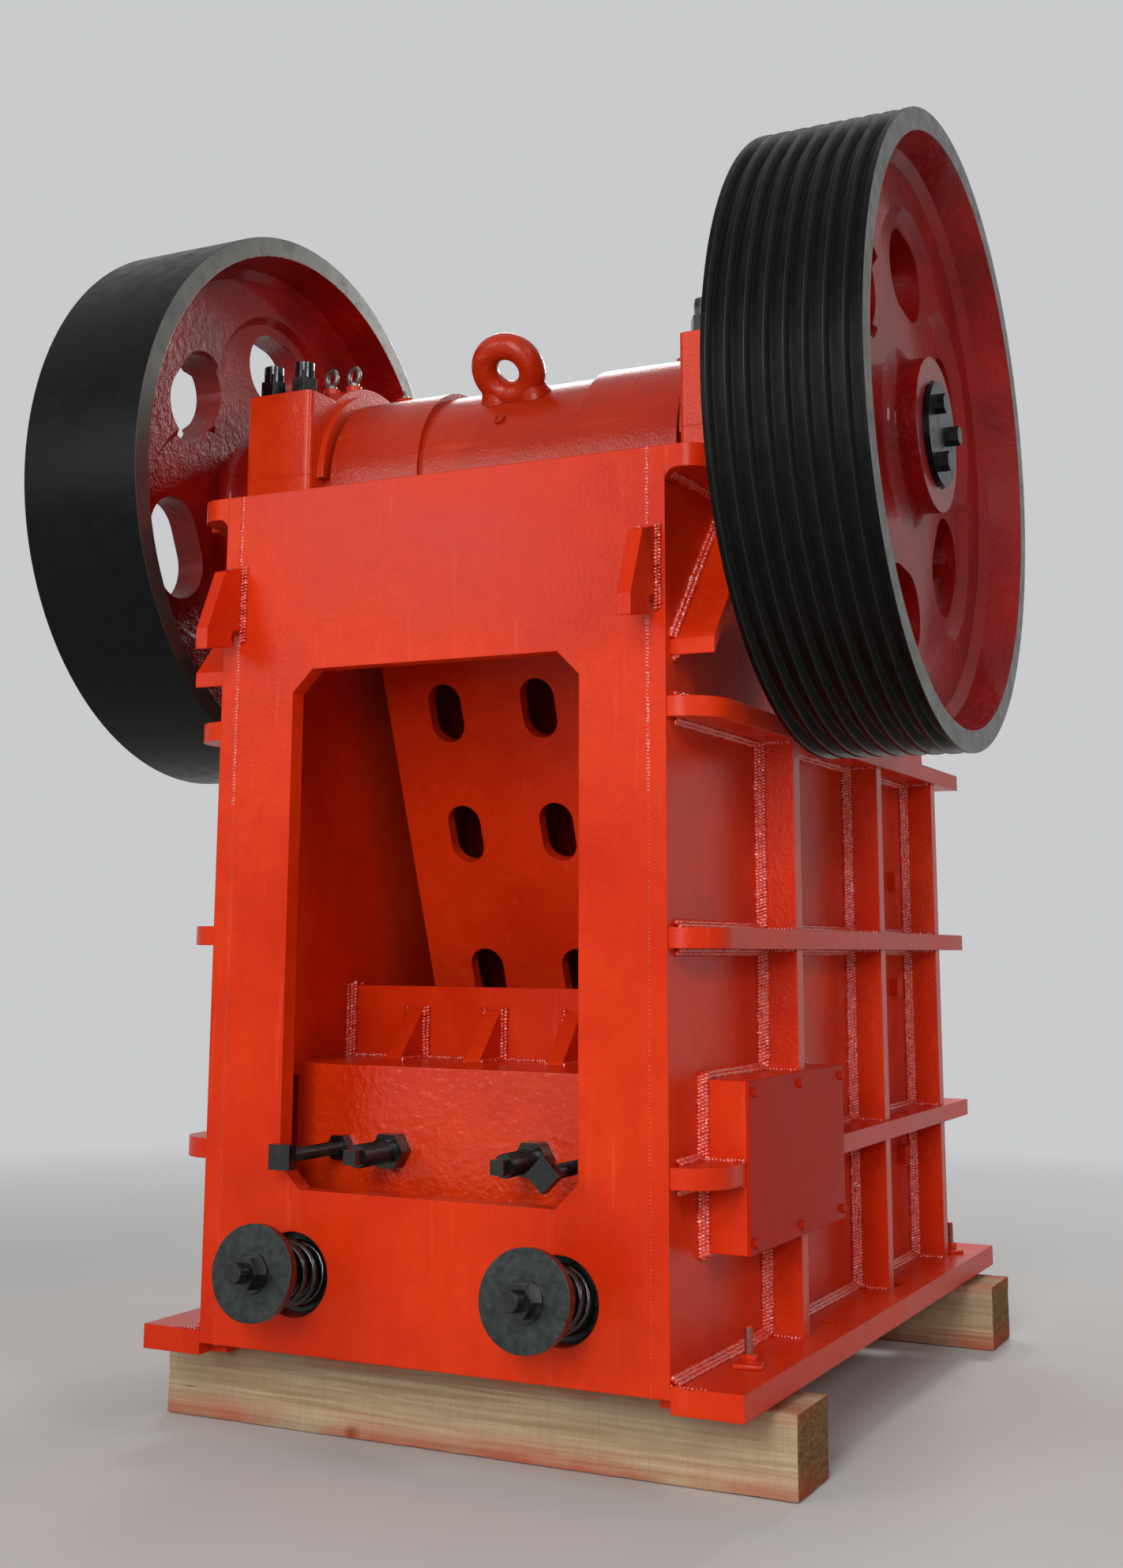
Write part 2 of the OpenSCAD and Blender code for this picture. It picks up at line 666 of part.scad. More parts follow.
module eccentric_shaft() color(steel) at_shaft() {
  both() bar_x(journal_r, head_w/2, wheel_x + 6 + hub_l - head_w/2);
  translate([0, 0, -throw]) bar_x(ecc_r, -head_w/2 - 6, head_w + 12);
  both() bar_x(house_r - 0.3, hx + 6, house_w - 12);
}

// Turn a profile drawn as (radius, x) about the shaft axis.
module turned() rotate([0, 90, 0]) rotate_extrude($fn = 180) children();

module rim_and_web() translate([wheel_x, 0, 0]) turned() polygon([[journal_r + 60, band_x],
  [wheel_r - rim_d - rim_draft - 24, band_x], [wheel_r - rim_d - rim_draft, band_x - 24],
  [wheel_r - rim_d, 0], [wheel_r, 0], [wheel_r, rim_w], [wheel_r - rim_d, rim_w],
  [wheel_r - rim_d - rim_draft, band_x + band_t + 24],
  [wheel_r - rim_d - rim_draft - 24, band_x + band_t], [journal_r + 60, band_x + band_t]]);

// The web lies back inside the rim band in one round lobe for each opening.
module lobes() rotate([0, 90, 0]) for (i = [0:web_holes - 1]) rotate(i*360/web_holes - 6)
  translate([lobe_c, 0, 0]) cylinder(r1 = lobe_r, r2 = lobe_r + recess + 1, h = recess + 1);

module openings() rotate([0, 90, 0]) linear_extrude(band_t + 2) for (i = [0:web_holes - 1])
  rotate(i*360/web_holes - 6) {
    for (y = [-1, 1]) translate([hole_c, y*hole_s]) circle(r = hole_r);
    translate([hole_c - hole_r, -hole_s]) square([2*hole_r, 2*hole_s]);
  }

// A hub with a round where it leaves the web on each side.
module hub() translate([wheel_x, 0, 0]) turned() {
  translate([journal_r + 0.3, 6]) square([hub_r - journal_r - 0.3, hub_l]);
  for (f = [[band_x + recess, -1], [band_x + band_t - recess, 1]])
    translate([hub_r - 1, f[0] - f[1]*0.5]) difference() {
      translate([0, f[1] > 0 ? 0 : -hub_round]) square([hub_round + 1, hub_round]);
      translate([hub_round + 1, f[1]*hub_round]) circle(r = hub_round);
    }
}

module wheel_body() difference() {
  union() {
    difference() {
      rim_and_web();
      translate([wheel_x + band_x + band_t - recess, 0, 0]) lobes();
      translate([wheel_x + band_x + recess, 0, 0]) mirror([1, 0, 0]) lobes();
    }
    hub();
  }
  translate([wheel_x + band_x - 1, 0, 0]) openings();
  // seat for the end plate
  bar_x(plate_r + 4, wheel_x + hub_l, 20);
}

module flywheel() color(crimson) at_shaft() on_left() wheel_body();

module groove() polygon([[wheel_r + 1, -16], [wheel_r - groove_d, -10], [wheel_r - groove_d, 10],
  [wheel_r + 1, 16]]);

module sheave() color(crimson) at_shaft() difference() {
  wheel_body();
  for (i = [0:grooves - 1])
    translate([wheel_x + rim_w/2 + (i - (grooves - 1)/2)*groove_p, 0, 0]) turned() groove();
}

module shaft_end_plates() color(black) at_shaft() both() {
  bar_x(plate_r, wheel_x + hub_l + 6.3, 14);
  for (a = [130, 10, 250]) rotate([a, 0, 0]) translate([0, 82, 0])
    nut_x(25, wheel_x + hub_l + 20, 24);
}

// SWING JAW, drawn hanging from the eccentric axis and turned to its slope

module at_jaw() at_wall() translate([0, shaft_y, ecc_z]) rotate([jaw_a, 0, 0]) children();

module pitman() color(red) at_jaw() difference() {
  back_in = -back_y + back_t + 1;
  union() {
    bar_x(head_mid_r, -head_w/2, head_w);
    both() bar_x(head_r, head_step, head_w/2 - head_step);
    // back pad and jaw seat, with a bottom block and four long webs between
    yz(-jaw_w/2, jaw_w) polygon([[back_in, -150], [back_in, -190], [0, -240], [jaw_y, -240],
      [jaw_y, -100], [150, 20]]);
    yz(-jaw_w/2, jaw_w) polygon([[jaw_y - 70, -170], [jaw_y, -170], [jaw_y, -jaw_l], [jaw_y - 70, -jaw_l]]);
    yz(-jaw_w/2, jaw_w) polygon([[back_in, -jaw_l + 560], [jaw_y, -jaw_l + 560], [jaw_y, -jaw_l],
      [60, -jaw_l], [back_in, -jaw_l + 160]]);
    for (x = [-1.5, -0.5, 0.5, 1.5]) yz(x*(jaw_w - 40)/3 - 20, 40)
      polygon([[back_in, -180], [jaw_y - 60, -200], [jaw_y - 60, -jaw_l + 500], [back_in, -jaw_l + 500]]);
    // bosses for the grease nipples
    for (x = [-1, 1]) rotate([4 - jaw_a, 0, 0]) translate([x*(head_w/2 - 78), 0, head_r - 10])
      cylinder(r1 = 30, r2 = 24, h = 24);
    // lugs for the tension rods
    both() translate([rod_x, pin[0], pin[1]]) bar_x(pin_r, -60, 120);
    both() for (x = [-1, 1]) yz(rod_x + x*50 - 12, 24) {
      translate(pin) circle(r = 46);
      polygon([[pin[0] - 42, pin[1] + 18], [back_in, -jaw_l + 160], [-20, -jaw_l + 1],
        [pin[0] + 20, pin[1] - 41]]);
    }
  }
  bar_x(ecc_r + 0.3, -head_w/2 - 1, head_w + 2);
}

// A round ring on two short legs, leaning back from the head.
module lifting_eye() color(red) at_jaw() difference() {
  rotate([eye_a - jaw_a, 0, 0]) translate([0, 0, head_mid_r + 74]) {
    rotate([90, 0, 0]) rotate_extrude() translate([68, 0]) circle(r = 36, $fn = 48);
    for (x = [-56, 56]) translate([x, 0, -104]) cylinder(r1 = 56, r2 = 34, h = 62, $fn = 48);
  }
  bar_x(head_mid_r + 0.1, -head_w/2, head_w);
}

module back_plate() color(red) at_jaw() difference() {
  translate([0, -back_y, 0]) back_sheet();
  bar_x(head_mid_r + 0.3, -head_w/2, head_w);
  both() bar_x(head_r + 0.3, head_step - 0.3, head_w/2);
}

// The pitman's back plate with its three columns of slots.
module back_sheet() xz(0, back_t) difference() {
  translate([-jaw_w/2, -jaw_l + 180]) square([jaw_w, jaw_l - 280]);
  for (x = [-283, 0, 283], z = [-568, -914, -1330]) translate([x, z]) {
    for (y = [-1, 1]) translate([0, y*slot_s]) circle(r = slot_r);
    translate([-slot_r, -slot_s]) square([2*slot_r, 2*slot_s]);
  }
}

module moving_jaw_plate() color(steel) at_jaw() translate([0, jaw_y, -jaw_l]) linear_extrude(jaw_l - 310)
  toothed(jaw_plate_w, plate_t, tooth_d);

module jaw_wedge() color(red) at_jaw() difference() {
  translate([-jaw_w/2, jaw_y, -308]) cube([jaw_w, 70, 130]);
  bar_x(head_r + 0.3, -head_w/2, head_w);
}

module toggle_seat() color(steel) at_jaw() difference() {
  translate([-toggle_w/2, -back_y - 60, -jaw_l + 300]) cube([toggle_w, 60, 118]);
  translate([-toggle_w/2 - 1, seat_local[0], seat_local[1]]) rotate([0, 90, 0])
    cylinder(r = toggle_t/2 + 6, h = toggle_w + 2);
}

// Draw one piece by name, or the whole machine.
rear_wall();
front_wall();
left_side_wall();
right_side_wall();
left_horizontal_ribs();
right_horizontal_ribs();
left_vertical_ribs();
right_vertical_ribs();
front_wall_ribs();
left_base_flange();
right_base_flange();
cover_boxes();
cover_plates();
lifting_hooks();
bearing_seats();
left_bearing_base();
right_bearing_base();
left_bearing_cap();
right_bearing_cap();
bearing_studs();
eyebolts();
adjusting_block();
block_guides();
seat_bracket();
adjusting_screws();
toggle_plate();
tension_rods();
tension_springs();
spring_plates();
fixed_jaw_plate();
cheek_plates();
liner_bolts();
anchor_bolts();
foot_pads();
rear_timber();
front_timber();
eccentric_shaft();
flywheel();
sheave();
shaft_end_plates();
pitman();
lifting_eye();
back_plate();
moving_jaw_plate();
jaw_wedge();
toggle_seat();
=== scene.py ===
# Looks of the jaw crusher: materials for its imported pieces, and the weld beads, screw threads,
# springs, grease nipples and sawn timbers that are dressed over them.
import json
import math

import bpy
from mathutils import Matrix, Vector


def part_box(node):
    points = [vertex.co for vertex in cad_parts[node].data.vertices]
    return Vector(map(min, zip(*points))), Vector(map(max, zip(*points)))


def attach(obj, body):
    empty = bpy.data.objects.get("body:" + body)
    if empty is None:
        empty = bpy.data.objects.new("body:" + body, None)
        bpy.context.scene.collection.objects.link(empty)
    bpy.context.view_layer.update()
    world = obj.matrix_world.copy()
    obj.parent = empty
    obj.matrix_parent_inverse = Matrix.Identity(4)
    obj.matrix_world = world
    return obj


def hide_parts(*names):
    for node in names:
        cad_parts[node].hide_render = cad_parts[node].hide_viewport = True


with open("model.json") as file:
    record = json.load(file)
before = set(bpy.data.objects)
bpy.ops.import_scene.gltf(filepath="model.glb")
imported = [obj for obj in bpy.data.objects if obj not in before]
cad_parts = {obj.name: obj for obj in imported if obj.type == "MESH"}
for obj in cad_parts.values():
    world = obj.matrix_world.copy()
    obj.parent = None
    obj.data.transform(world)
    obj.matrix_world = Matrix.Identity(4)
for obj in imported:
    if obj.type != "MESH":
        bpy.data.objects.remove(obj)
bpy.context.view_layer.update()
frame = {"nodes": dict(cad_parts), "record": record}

MM = 0.001

# Places read from the frame. The rear wall's outer lower edge is the camera's datum, and
# millimetres in this script count from there: x right, y from the rear wall, z up.
WALL_Y, WALL_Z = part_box("rear_wall")[0][1:]
SHEAVE_LO, SHEAVE_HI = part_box("sheave")
SHAFT_Y = (SHEAVE_LO[1] + SHEAVE_HI[1]) / 2
SHAFT_Z = (SHEAVE_LO[2] + SHEAVE_HI[2]) / 2
WHEEL_R = (SHEAVE_HI[2] - SHEAVE_LO[2]) / 2
ROD_SLOPE = math.radians(8)


def spot(x, y, z):
    """A point given in millimetres from the rear wall's outer lower edge."""
    return Vector((x * MM, WALL_Y + y * MM, WALL_Z + z * MM))


# CAMERA

LONG_SIDE = 1986.0  # the photo's height in pixels, in which the lens and its shift are given
FOCAL_PX = 2343.2
CAMERA_TURN = math.radians(26.84)
CAMERA_TILT = math.radians(9.87)
CAMERA_ROLL = math.radians(0.395)
SHIFT_X = 45.7 / LONG_SIDE
SHIFT_Y = -201.3 / LONG_SIDE
CAMERA_AT = (2190, -3824, 942)
SENSOR_MM = 36


def set_camera():
    """The photo's view, as fitted to its edges and to the circles of the wheels."""
    ahead = Vector((-math.sin(CAMERA_TURN) * math.cos(CAMERA_TILT),
                    math.cos(CAMERA_TURN) * math.cos(CAMERA_TILT), math.sin(CAMERA_TILT)))
    right = Vector((math.cos(CAMERA_TURN), math.sin(CAMERA_TURN), 0))
    up = right.cross(ahead)
    right, up = (math.cos(CAMERA_ROLL) * right + math.sin(CAMERA_ROLL) * up,
                 math.cos(CAMERA_ROLL) * up - math.sin(CAMERA_ROLL) * right)
    data = bpy.data.cameras.new("camera")
    data.sensor_width = SENSOR_MM
    data.lens = SENSOR_MM * FOCAL_PX / LONG_SIDE
    data.shift_x, data.shift_y = SHIFT_X, SHIFT_Y
    data.clip_end = 200
    camera = bpy.data.objects.new("camera", data)
    bpy.context.scene.collection.objects.link(camera)
    turn = Matrix((right, up, -ahead)).transposed().to_4x4()
    camera.matrix_world = Matrix.Translation(spot(*CAMERA_AT)) @ turn
    bpy.context.scene.camera = camera


set_camera()

# MATERIAL TOOLS

# what a node of a kind is given where a material doesn't say otherwise
USUAL = {"TexNoise": {"Detail": 3, "Roughness": 0.55}}


def linear(code):
    """Turns an sRGB hex colour into the linear values that a shader takes."""
    parts = [int(code[i:i + 2], 16) / 255 for i in (1, 3, 5)]
    return [c / 12.92 if c <= 0.04045 else ((c + 0.055) / 1.055) ** 2.4 for c in parts] + [1]


def per(size_mm):
    """A pattern's scale in repeats per metre, from its real size in millimetres."""
    return 1 / (size_mm * MM)


def put(tree, node, inputs):
    """Gives a node's inputs their values, hex colours or links."""
    for name, value in inputs.items():
        if isinstance(value, bpy.types.NodeSocket):
            tree.links.new(value, node.inputs[name])
        else:
            node.inputs[name].default_value = linear(value) if isinstance(value, str) else value


def add(tree, kind, inputs, out=0, **settings):
    """Adds a node with its settings, values and links, and returns one of its outputs."""
    node = tree.nodes.new("ShaderNode" + kind)
    for name, value in settings.items():
        setattr(node, name, value)
    put(tree, node, {**USUAL.get(kind, {}), **inputs})
    return node.outputs[out]


def new_material(name):
    """Starts a material: returns it, its tree, its shader and the piece's own coordinates."""
    material = bpy.data.materials.new(name)
    material.use_nodes = True
    tree = material.node_tree
    return material, tree, tree.nodes["Principled BSDF"], add(tree, "TexCoord", {}, "Object")


def wash(tree, under, over, pattern, low, high, least=0.0, most=1.0):
    """Lays one colour over another: least where the pattern is low, most where it is high."""
    share = add(tree, "MapRange", {0: pattern, 1: low, 2: high, 3: least, 4: most})
    return add(tree, "Mix", {0: share, 6: under, 7: over}, 2, data_type="RGBA")


# MATERIALS


def enamel(name, low, high, streak, peel_mm, peel_depth, brushed, rough, specular):
    """Alkyd enamel brushed or sprayed on steel: wet gloss with brush streaks and orange peel.
    brushed tells how many times longer the streaks are along each axis. Bristle marks of about
    2 mm are drawn 16 to 22 mm wide and dust of under 1 mm is drawn as 3 mm, so that they show.
    The widest streaks are painted lighter as sheen, and corners and hollows are painted darker
    as shade."""
    material, tree, shader, where = new_material(name)
    drawn = add(tree, "Mapping", {"Vector": where, "Scale": [1 / times for times in brushed]})
    patches = add(tree, "TexNoise", {"Vector": where, "Scale": per(420), "Detail": 2})
    streaks = add(tree, "TexNoise", {"Vector": drawn, "Scale": per(16)})
    sheen_streaks = add(tree, "TexNoise", {"Vector": drawn, "Scale": per(22), "Detail": 4})
    smudges = add(tree, "TexNoise", {"Vector": where, "Scale": per(50), "Detail": 5})
    peel = add(tree, "TexNoise", {"Vector": where, "Scale": per(peel_mm)})
    dust = add(tree, "TexNoise", {"Vector": where, "Scale": per(3), "Detail": 2})
    # painted shade: ambient occlusion that finds the corners and hollows to darken
    painted_corner_shade = add(tree, "AmbientOcclusion", {"Distance": 160 * MM}, "AO", samples=4)
    colour = wash(tree, low, high, patches, 0.35, 0.65)
    colour = wash(tree, colour, streak, streaks, 0.5, 0.8, 0, 0.12)
    colour = wash(tree, colour, streak, smudges, 0.4, 0.75, 0, 0.3)
    # painted sheen: narrow lighter streaks along the brush stand in for gloss catching the light
    colour = wash(tree, colour, "#F0704C", sheen_streaks, 0.62, 0.8, 0, 0.22)
    # painted shade: the enamel is darkened towards #7C0C03 in corners and hollows
    colour = wash(tree, colour, "#7C0C03", painted_corner_shade, 0.1, 0.6, 0.25, 0)
    colour = wash(tree, colour, "#8A1B0C", dust, 0.72, 0.78, 0, 0.12)
    edges = add(tree, "Bevel", {"Radius": 4 * MM}, samples=4)
    normal = add(tree, "Bump", {"Height": streaks, "Distance": 0.8 * MM, "Strength": 0.12,
                                "Normal": edges})
    normal = add(tree, "Bump", {"Height": peel, "Distance": peel_depth * MM, "Strength": 0.6,
                                "Normal": normal})
    put(tree, shader, {"Base Color": colour, "Specular IOR Level": specular, "Normal": normal,
        "Roughness": add(tree, "MapRange", {0: patches, 1: 0.3, 2: 0.7, 3: rough,
                                            4: rough + 0.12})})
    return material


def weld_enamel():
    """Thick enamel over hand-laid weld beads: lumps under wet gloss, full of small glints. The
    lumps of about 5 mm are drawn 11 mm across, so that they show."""
    material, tree, shader, where = new_material("wet_enamel_over_weld_beads")
    lumps = add(tree, "TexVoronoi", {"Vector": where, "Scale": per(11), "Smoothness": 0.6},
                feature="SMOOTH_F1")
    drift = add(tree, "TexNoise", {"Vector": where, "Scale": per(30)})
    spatter = add(tree, "TexNoise", {"Vector": where, "Scale": per(4)})
    normal = add(tree, "Bump", {"Height": lumps, "Distance": 6 * MM, "Strength": 0.8})
    normal = add(tree, "Bump", {"Height": spatter, "Distance": 1.6 * MM, "Strength": 0.6,
                                "Normal": normal})
    put(tree, shader, {"Base Color": wash(tree, "#CC250A", "#E23A12", drift, 0.35, 0.65),
        "Roughness": 0.07, "Specular IOR Level": 1.0, "Coat Weight": 0.8, "Coat Roughness": 0.05,
        "Normal": normal})
    return material


def wheel_finish():
    """One iron casting with three finishes: crimson enamel on the rough web, black gloss on the
    turned tread, and bare turned sides on the rim. The lathe's marks of about 0.3 mm are drawn
    1.2 mm apart."""
    material, tree, shader, where = new_material("wheel_casting_enamelled_and_turned")
    about_shaft = add(tree, "Mapping", {"Vector": where, "Location": (0, -SHAFT_Y, -SHAFT_Z),
                                        "Scale": (0, 1, 1)})
    radius = add(tree, "VectorMath", {0: about_shaft}, "Value", operation="LENGTH")
    facing = add(tree, "SeparateXYZ", {0: add(tree, "NewGeometry", {}, "True Normal")})
    sideways = add(tree, "Math", {0: facing}, operation="ABSOLUTE")
    side = add(tree, "Math", {0: sideways, 1: 0.9}, operation="GREATER_THAN")
    round_face = add(tree, "Math", {0: 1.0, 1: side}, operation="SUBTRACT")
    rim = add(tree, "Math", {0: radius, 1: WHEEL_R - 54 * MM}, operation="GREATER_THAN")
    outer = add(tree, "Math", {0: radius, 1: WHEEL_R - 40 * MM}, operation="GREATER_THAN")
    groove = add(tree, "Math", {0: radius, 1: WHEEL_R - 24 * MM}, operation="LESS_THAN")
    turned = add(tree, "Math", {0: side, 1: rim}, operation="MULTIPLY")
    tread = add(tree, "Math", {0: round_face, 1: outer}, operation="MULTIPLY")
    painted = add(tree, "Math", {0: 1.0, 1: rim}, operation="SUBTRACT")

    lumps = add(tree, "TexNoise", {"Vector": where, "Scale": per(26), "Detail": 4,
                                   "Roughness": 0.6})
    grit = add(tree, "TexNoise", {"Vector": where, "Scale": per(6)})
    patches = add(tree, "TexNoise", {"Vector": where, "Scale": per(260), "Detail": 2})
    rub = add(tree, "TexNoise", {"Vector": where, "Scale": per(50), "Detail": 4})
    tool_marks = add(tree, "TexNoise", {"Vector": add(tree, "CombineXYZ", {0: radius}),
                                        "Scale": per(1.2), "Detail": 2})
    # painted shade: ambient occlusion that finds the web's hollows to darken
    painted_corner_shade = add(tree, "AmbientOcclusion", {"Distance": 200 * MM}, "AO", samples=4)

    crimson = wash(tree, "#840D09", "#A41510", patches, 0.35, 0.65)
    # painted shade: the crimson web is darkened towards #330504 in its hollows
    crimson = wash(tree, crimson, "#330504", painted_corner_shade, 0.1, 0.8, 0.5, 0)
    steel = wash(tree, "#4B4946", "#6C6A65", tool_marks, 0.4, 0.6)
    steel = wash(tree, steel, "#544C43", rub, 0.5, 0.75, 0, 0.4)
    black = wash(tree, "#030404", "#0A0B0C", rub, 0.45, 0.8)
    black = wash(tree, black, "#0C0504", groove, 0, 1, 0, 0.6)
    colour = wash(tree, crimson, steel, turned, 0, 1)
    colour = wash(tree, colour, black, tread, 0, 1)

    rough_cast = add(tree, "Math", {0: grit, 1: 0.25, 2: lumps}, operation="MULTIPLY_ADD")
    rough_cast = add(tree, "Math", {0: painted, 1: rough_cast}, operation="MULTIPLY")
    edges = add(tree, "Bevel", {"Radius": 5 * MM}, samples=4)
    worn = add(tree, "MapRange", {0: rub, 1: 0.3, 2: 0.7, 3: 0.26, 4: 0.42})
    put(tree, shader, {"Base Color": colour,
        "Metallic": add(tree, "Math", {0: turned, 1: 0.8}, operation="MULTIPLY"),
        "Roughness": add(tree, "Mix", {0: rim, 2: 0.26, 3: worn}),
        "Specular IOR Level": add(tree, "Mix", {0: tread, 2: 0.1, 3: 0.13}),
        "Coat Weight": add(tree, "Math", {0: painted, 1: 0.3}, operation="MULTIPLY"),
        "Coat Roughness": 0.12,
        "Normal": add(tree, "Bump", {"Height": rough_cast, "Distance": 9 * MM,
                                     "Strength": 0.85, "Normal": edges})})
    return material


def black_enamel(name, specular, coat):
    """Black machine enamel over turned steel, with a few rubbed, greyer spots."""
    material, tree, shader, where = new_material(name)
    rub = add(tree, "TexNoise", {"Vector": where, "Scale": per(30), "Detail": 4})
    runs = add(tree, "TexNoise", {"Vector": where, "Scale": per(7), "Detail": 2})
    edges = add(tree, "Bevel", {"Radius": 1.5 * MM}, samples=4)
    put(tree, shader, {"Base Color": wash(tree, "#060708", "#1B1C1E", rub, 0.5, 0.8),
        "Roughness": add(tree, "MapRange", {0: rub, 1: 0.3, 2: 0.7, 3: 0.16, 4: 0.34}),
        "Specular IOR Level": specular, "Coat Weight": coat, "Coat Roughness": 0.08,
        "Normal": add(tree, "Bump", {"Height": runs, "Distance": 0.5 * MM, "Strength": 0.4,
                                     "Normal": edges})})
    return material


def spring_plate_finish():
    """Thick black paint on the flame-cut plates' faces, and red primer left on their rims."""
    material, tree, shader, where = new_material("black_enamel_over_red_primer")
    along_rod = (0, math.cos(ROD_SLOPE), -math.sin(ROD_SLOPE))
    facing = add(tree, "VectorMath", {0: add(tree, "NewGeometry", {}, "True Normal"),
                                      1: along_rod}, "Value", operation="DOT_PRODUCT")
    flat = add(tree, "Math", {0: facing}, operation="ABSOLUTE")
    rim = add(tree, "Math", {0: flat, 1: 0.7}, operation="LESS_THAN")
    drag = add(tree, "TexNoise", {"Vector": where, "Scale": per(18), "Detail": 4})
    paint = wash(tree, "#161B1A", "#252C2A", drag, 0.4, 0.7)
    primer = wash(tree, "#32100C", "#571D17", drag, 0.35, 0.65)
    edges = add(tree, "Bevel", {"Radius": 3 * MM}, samples=4)
    put(tree, shader, {"Base Color": wash(tree, paint, primer, rim, 0, 1),
        "Roughness": add(tree, "MapRange", {0: drag, 1: 0.3, 2: 0.7, 3: 0.22, 4: 0.4}),
        "Specular IOR Level": 0.45,
        "Normal": add(tree, "Bump", {"Height": drag, "Distance": 1.5 * MM, "Strength": 0.45,
                                     "Normal": edges})})
    return material


def bare_steel():
    """Turned or milled steel left bare: grey, with fine tool lines and faint oxide. The lines of
    about 0.3 mm are drawn 2.5 mm wide."""
    material, tree, shader, where = new_material("bare_machined_steel")
    drawn = add(tree, "Mapping", {"Vector": where, "Scale": (1 / 6, 1, 1)})
    lines = add(tree, "TexNoise", {"Vector": drawn, "Scale": per(2.5), "Detail": 2})
    stain = add(tree, "TexNoise", {"Vector": where, "Scale": per(60), "Detail": 4})
    colour = wash(tree, "#66645F", "#A09E98", lines, 0.35, 0.65)
    colour = wash(tree, colour, "#5B4A3C", stain, 0.5, 0.75, 0, 0.5)
    edges = add(tree, "Bevel", {"Radius": 2 * MM}, samples=4)
    put(tree, shader, {"Base Color": colour, "Metallic": 0.85,
        "Roughness": add(tree, "MapRange", {0: stain, 1: 0.3, 2: 0.7, 3: 0.3, 4: 0.5}),
        "Normal": add(tree, "Bump", {"Height": lines, "Distance": 0.2 * MM, "Strength": 0.5,
                                     "Normal": edges})})
    return material


def manganese_steel():
    """Cast austenitic manganese steel: dull brown-grey scale with a sand-cast skin."""
    material, tree, shader, where = new_material("cast_manganese_steel")
    skin = add(tree, "TexNoise", {"Vector": where, "Scale": per(10), "Detail": 5})
    rust = add(tree, "TexNoise", {"Vector": where, "Scale": per(140), "Detail": 4})
    colour = wash(tree, "#3B3733", "#5A544D", skin, 0.35, 0.7)
    colour = wash(tree, colour, "#6B452C", rust, 0.5, 0.7, 0, 0.6)
    edges = add(tree, "Bevel", {"Radius": 4 * MM}, samples=4)
    put(tree, shader, {"Base Color": colour, "Metallic": 0.6, "Roughness": 0.62,
        "Normal": add(tree, "Bump", {"Height": skin, "Distance": 2 * MM, "Strength": 0.6,
                                     "Normal": edges})})
    return material


def sawn_timber():
    """Rough sawn softwood: pale straw with upright saw marks, knots and red overspray, and
    brown rings on the end grain. Grain and saw marks of 3 mm are drawn 7 to 12 mm wide."""
    material, tree, shader, where = new_material("rough_sawn_softwood")
    fibres, boards, across, checks, gusts, ends = (
        add(tree, "Mapping", {"Vector": where, "Scale": scale})
        for scale in ((1 / 45, 1, 1), (1 / 4, 1, 1), (1, 1 / 9, 1 / 9), (1 / 26, 1, 1),
                      (1 / 2, 1, 1), (1, 1 / 3, 1)))
    grain = add(tree, "TexNoise", {"Vector": fibres, "Scale": per(11), "Detail": 5,
                                   "Distortion": 0.7})
    board = add(tree, "TexNoise", {"Vector": boards, "Scale": per(150)})
    saw = add(tree, "TexNoise", {"Vector": across, "Scale": per(7)})
    splits = add(tree, "TexNoise", {"Vector": checks, "Scale": per(22), "Detail": 4,
                                    "Roughness": 0.7})
    spray = add(tree, "TexNoise", {"Vector": gusts, "Scale": per(190)})
    rings = add(tree, "TexNoise", {"Vector": ends, "Scale": per(12), "Distortion": 2})
    knots = add(tree, "TexVoronoi", {"Vector": where, "Scale": per(330)}, feature="F1")
    height_up = add(tree, "SeparateXYZ", {0: where}, "Z")
    facing = add(tree, "SeparateXYZ", {0: add(tree, "NewGeometry", {}, "True Normal")})
    endways = add(tree, "Math", {0: facing}, operation="ABSOLUTE")
    end = add(tree, "Math", {0: endways, 1: 0.7}, operation="GREATER_THAN")
    crack = add(tree, "MapRange", {0: splits, 1: 0.30, 2: 0.25})

    colour = wash(tree, "#A88C69", "#C9B391", grain, 0.35, 0.65)
    colour = wash(tree, colour, "#9C8D76", board, 0.4, 0.7, 0, 0.6)
    colour = wash(tree, colour, "#7F6D52", saw, 0.5, 0.75, 0, 0.2)
    colour = wash(tree, colour, "#5A3B22", knots, 0.085, 0.03, 0, 0.8)
    colour = wash(tree, colour, "#3A2A1C", crack, 0, 1)
    colour = wash(tree, colour, wash(tree, "#5A3C20", "#8F6A40", rings, 0.35, 0.65), end, 0, 1)
    # red overspray under the frame and along the lower edge
    upper = add(tree, "MapRange", {0: height_up, 1: 150 * MM, 2: 190 * MM})
    lower = add(tree, "MapRange", {0: height_up, 1: 70 * MM, 2: 5 * MM})
    reach = add(tree, "Math", {0: upper, 1: lower}, operation="MAXIMUM")
    drift = add(tree, "MapRange", {0: spray, 1: 0.38, 2: 0.58, 3: 0, 4: 0.75})
    red = add(tree, "Math", {0: reach, 1: drift}, operation="MULTIPLY")
    colour = wash(tree, colour, "#B4341B", red, 0, 1)

    relief = add(tree, "Math", {0: grain, 1: saw}, operation="ADD")
    relief = add(tree, "Math", {0: crack, 1: -2.0, 2: relief}, operation="MULTIPLY_ADD")
    put(tree, shader, {"Base Color": colour, "Roughness": 0.82, "Specular IOR Level": 0.2,
        "Normal": add(tree, "Bump", {"Height": relief, "Distance": 1.8 * MM,
                                     "Strength": 0.7})})
    return material


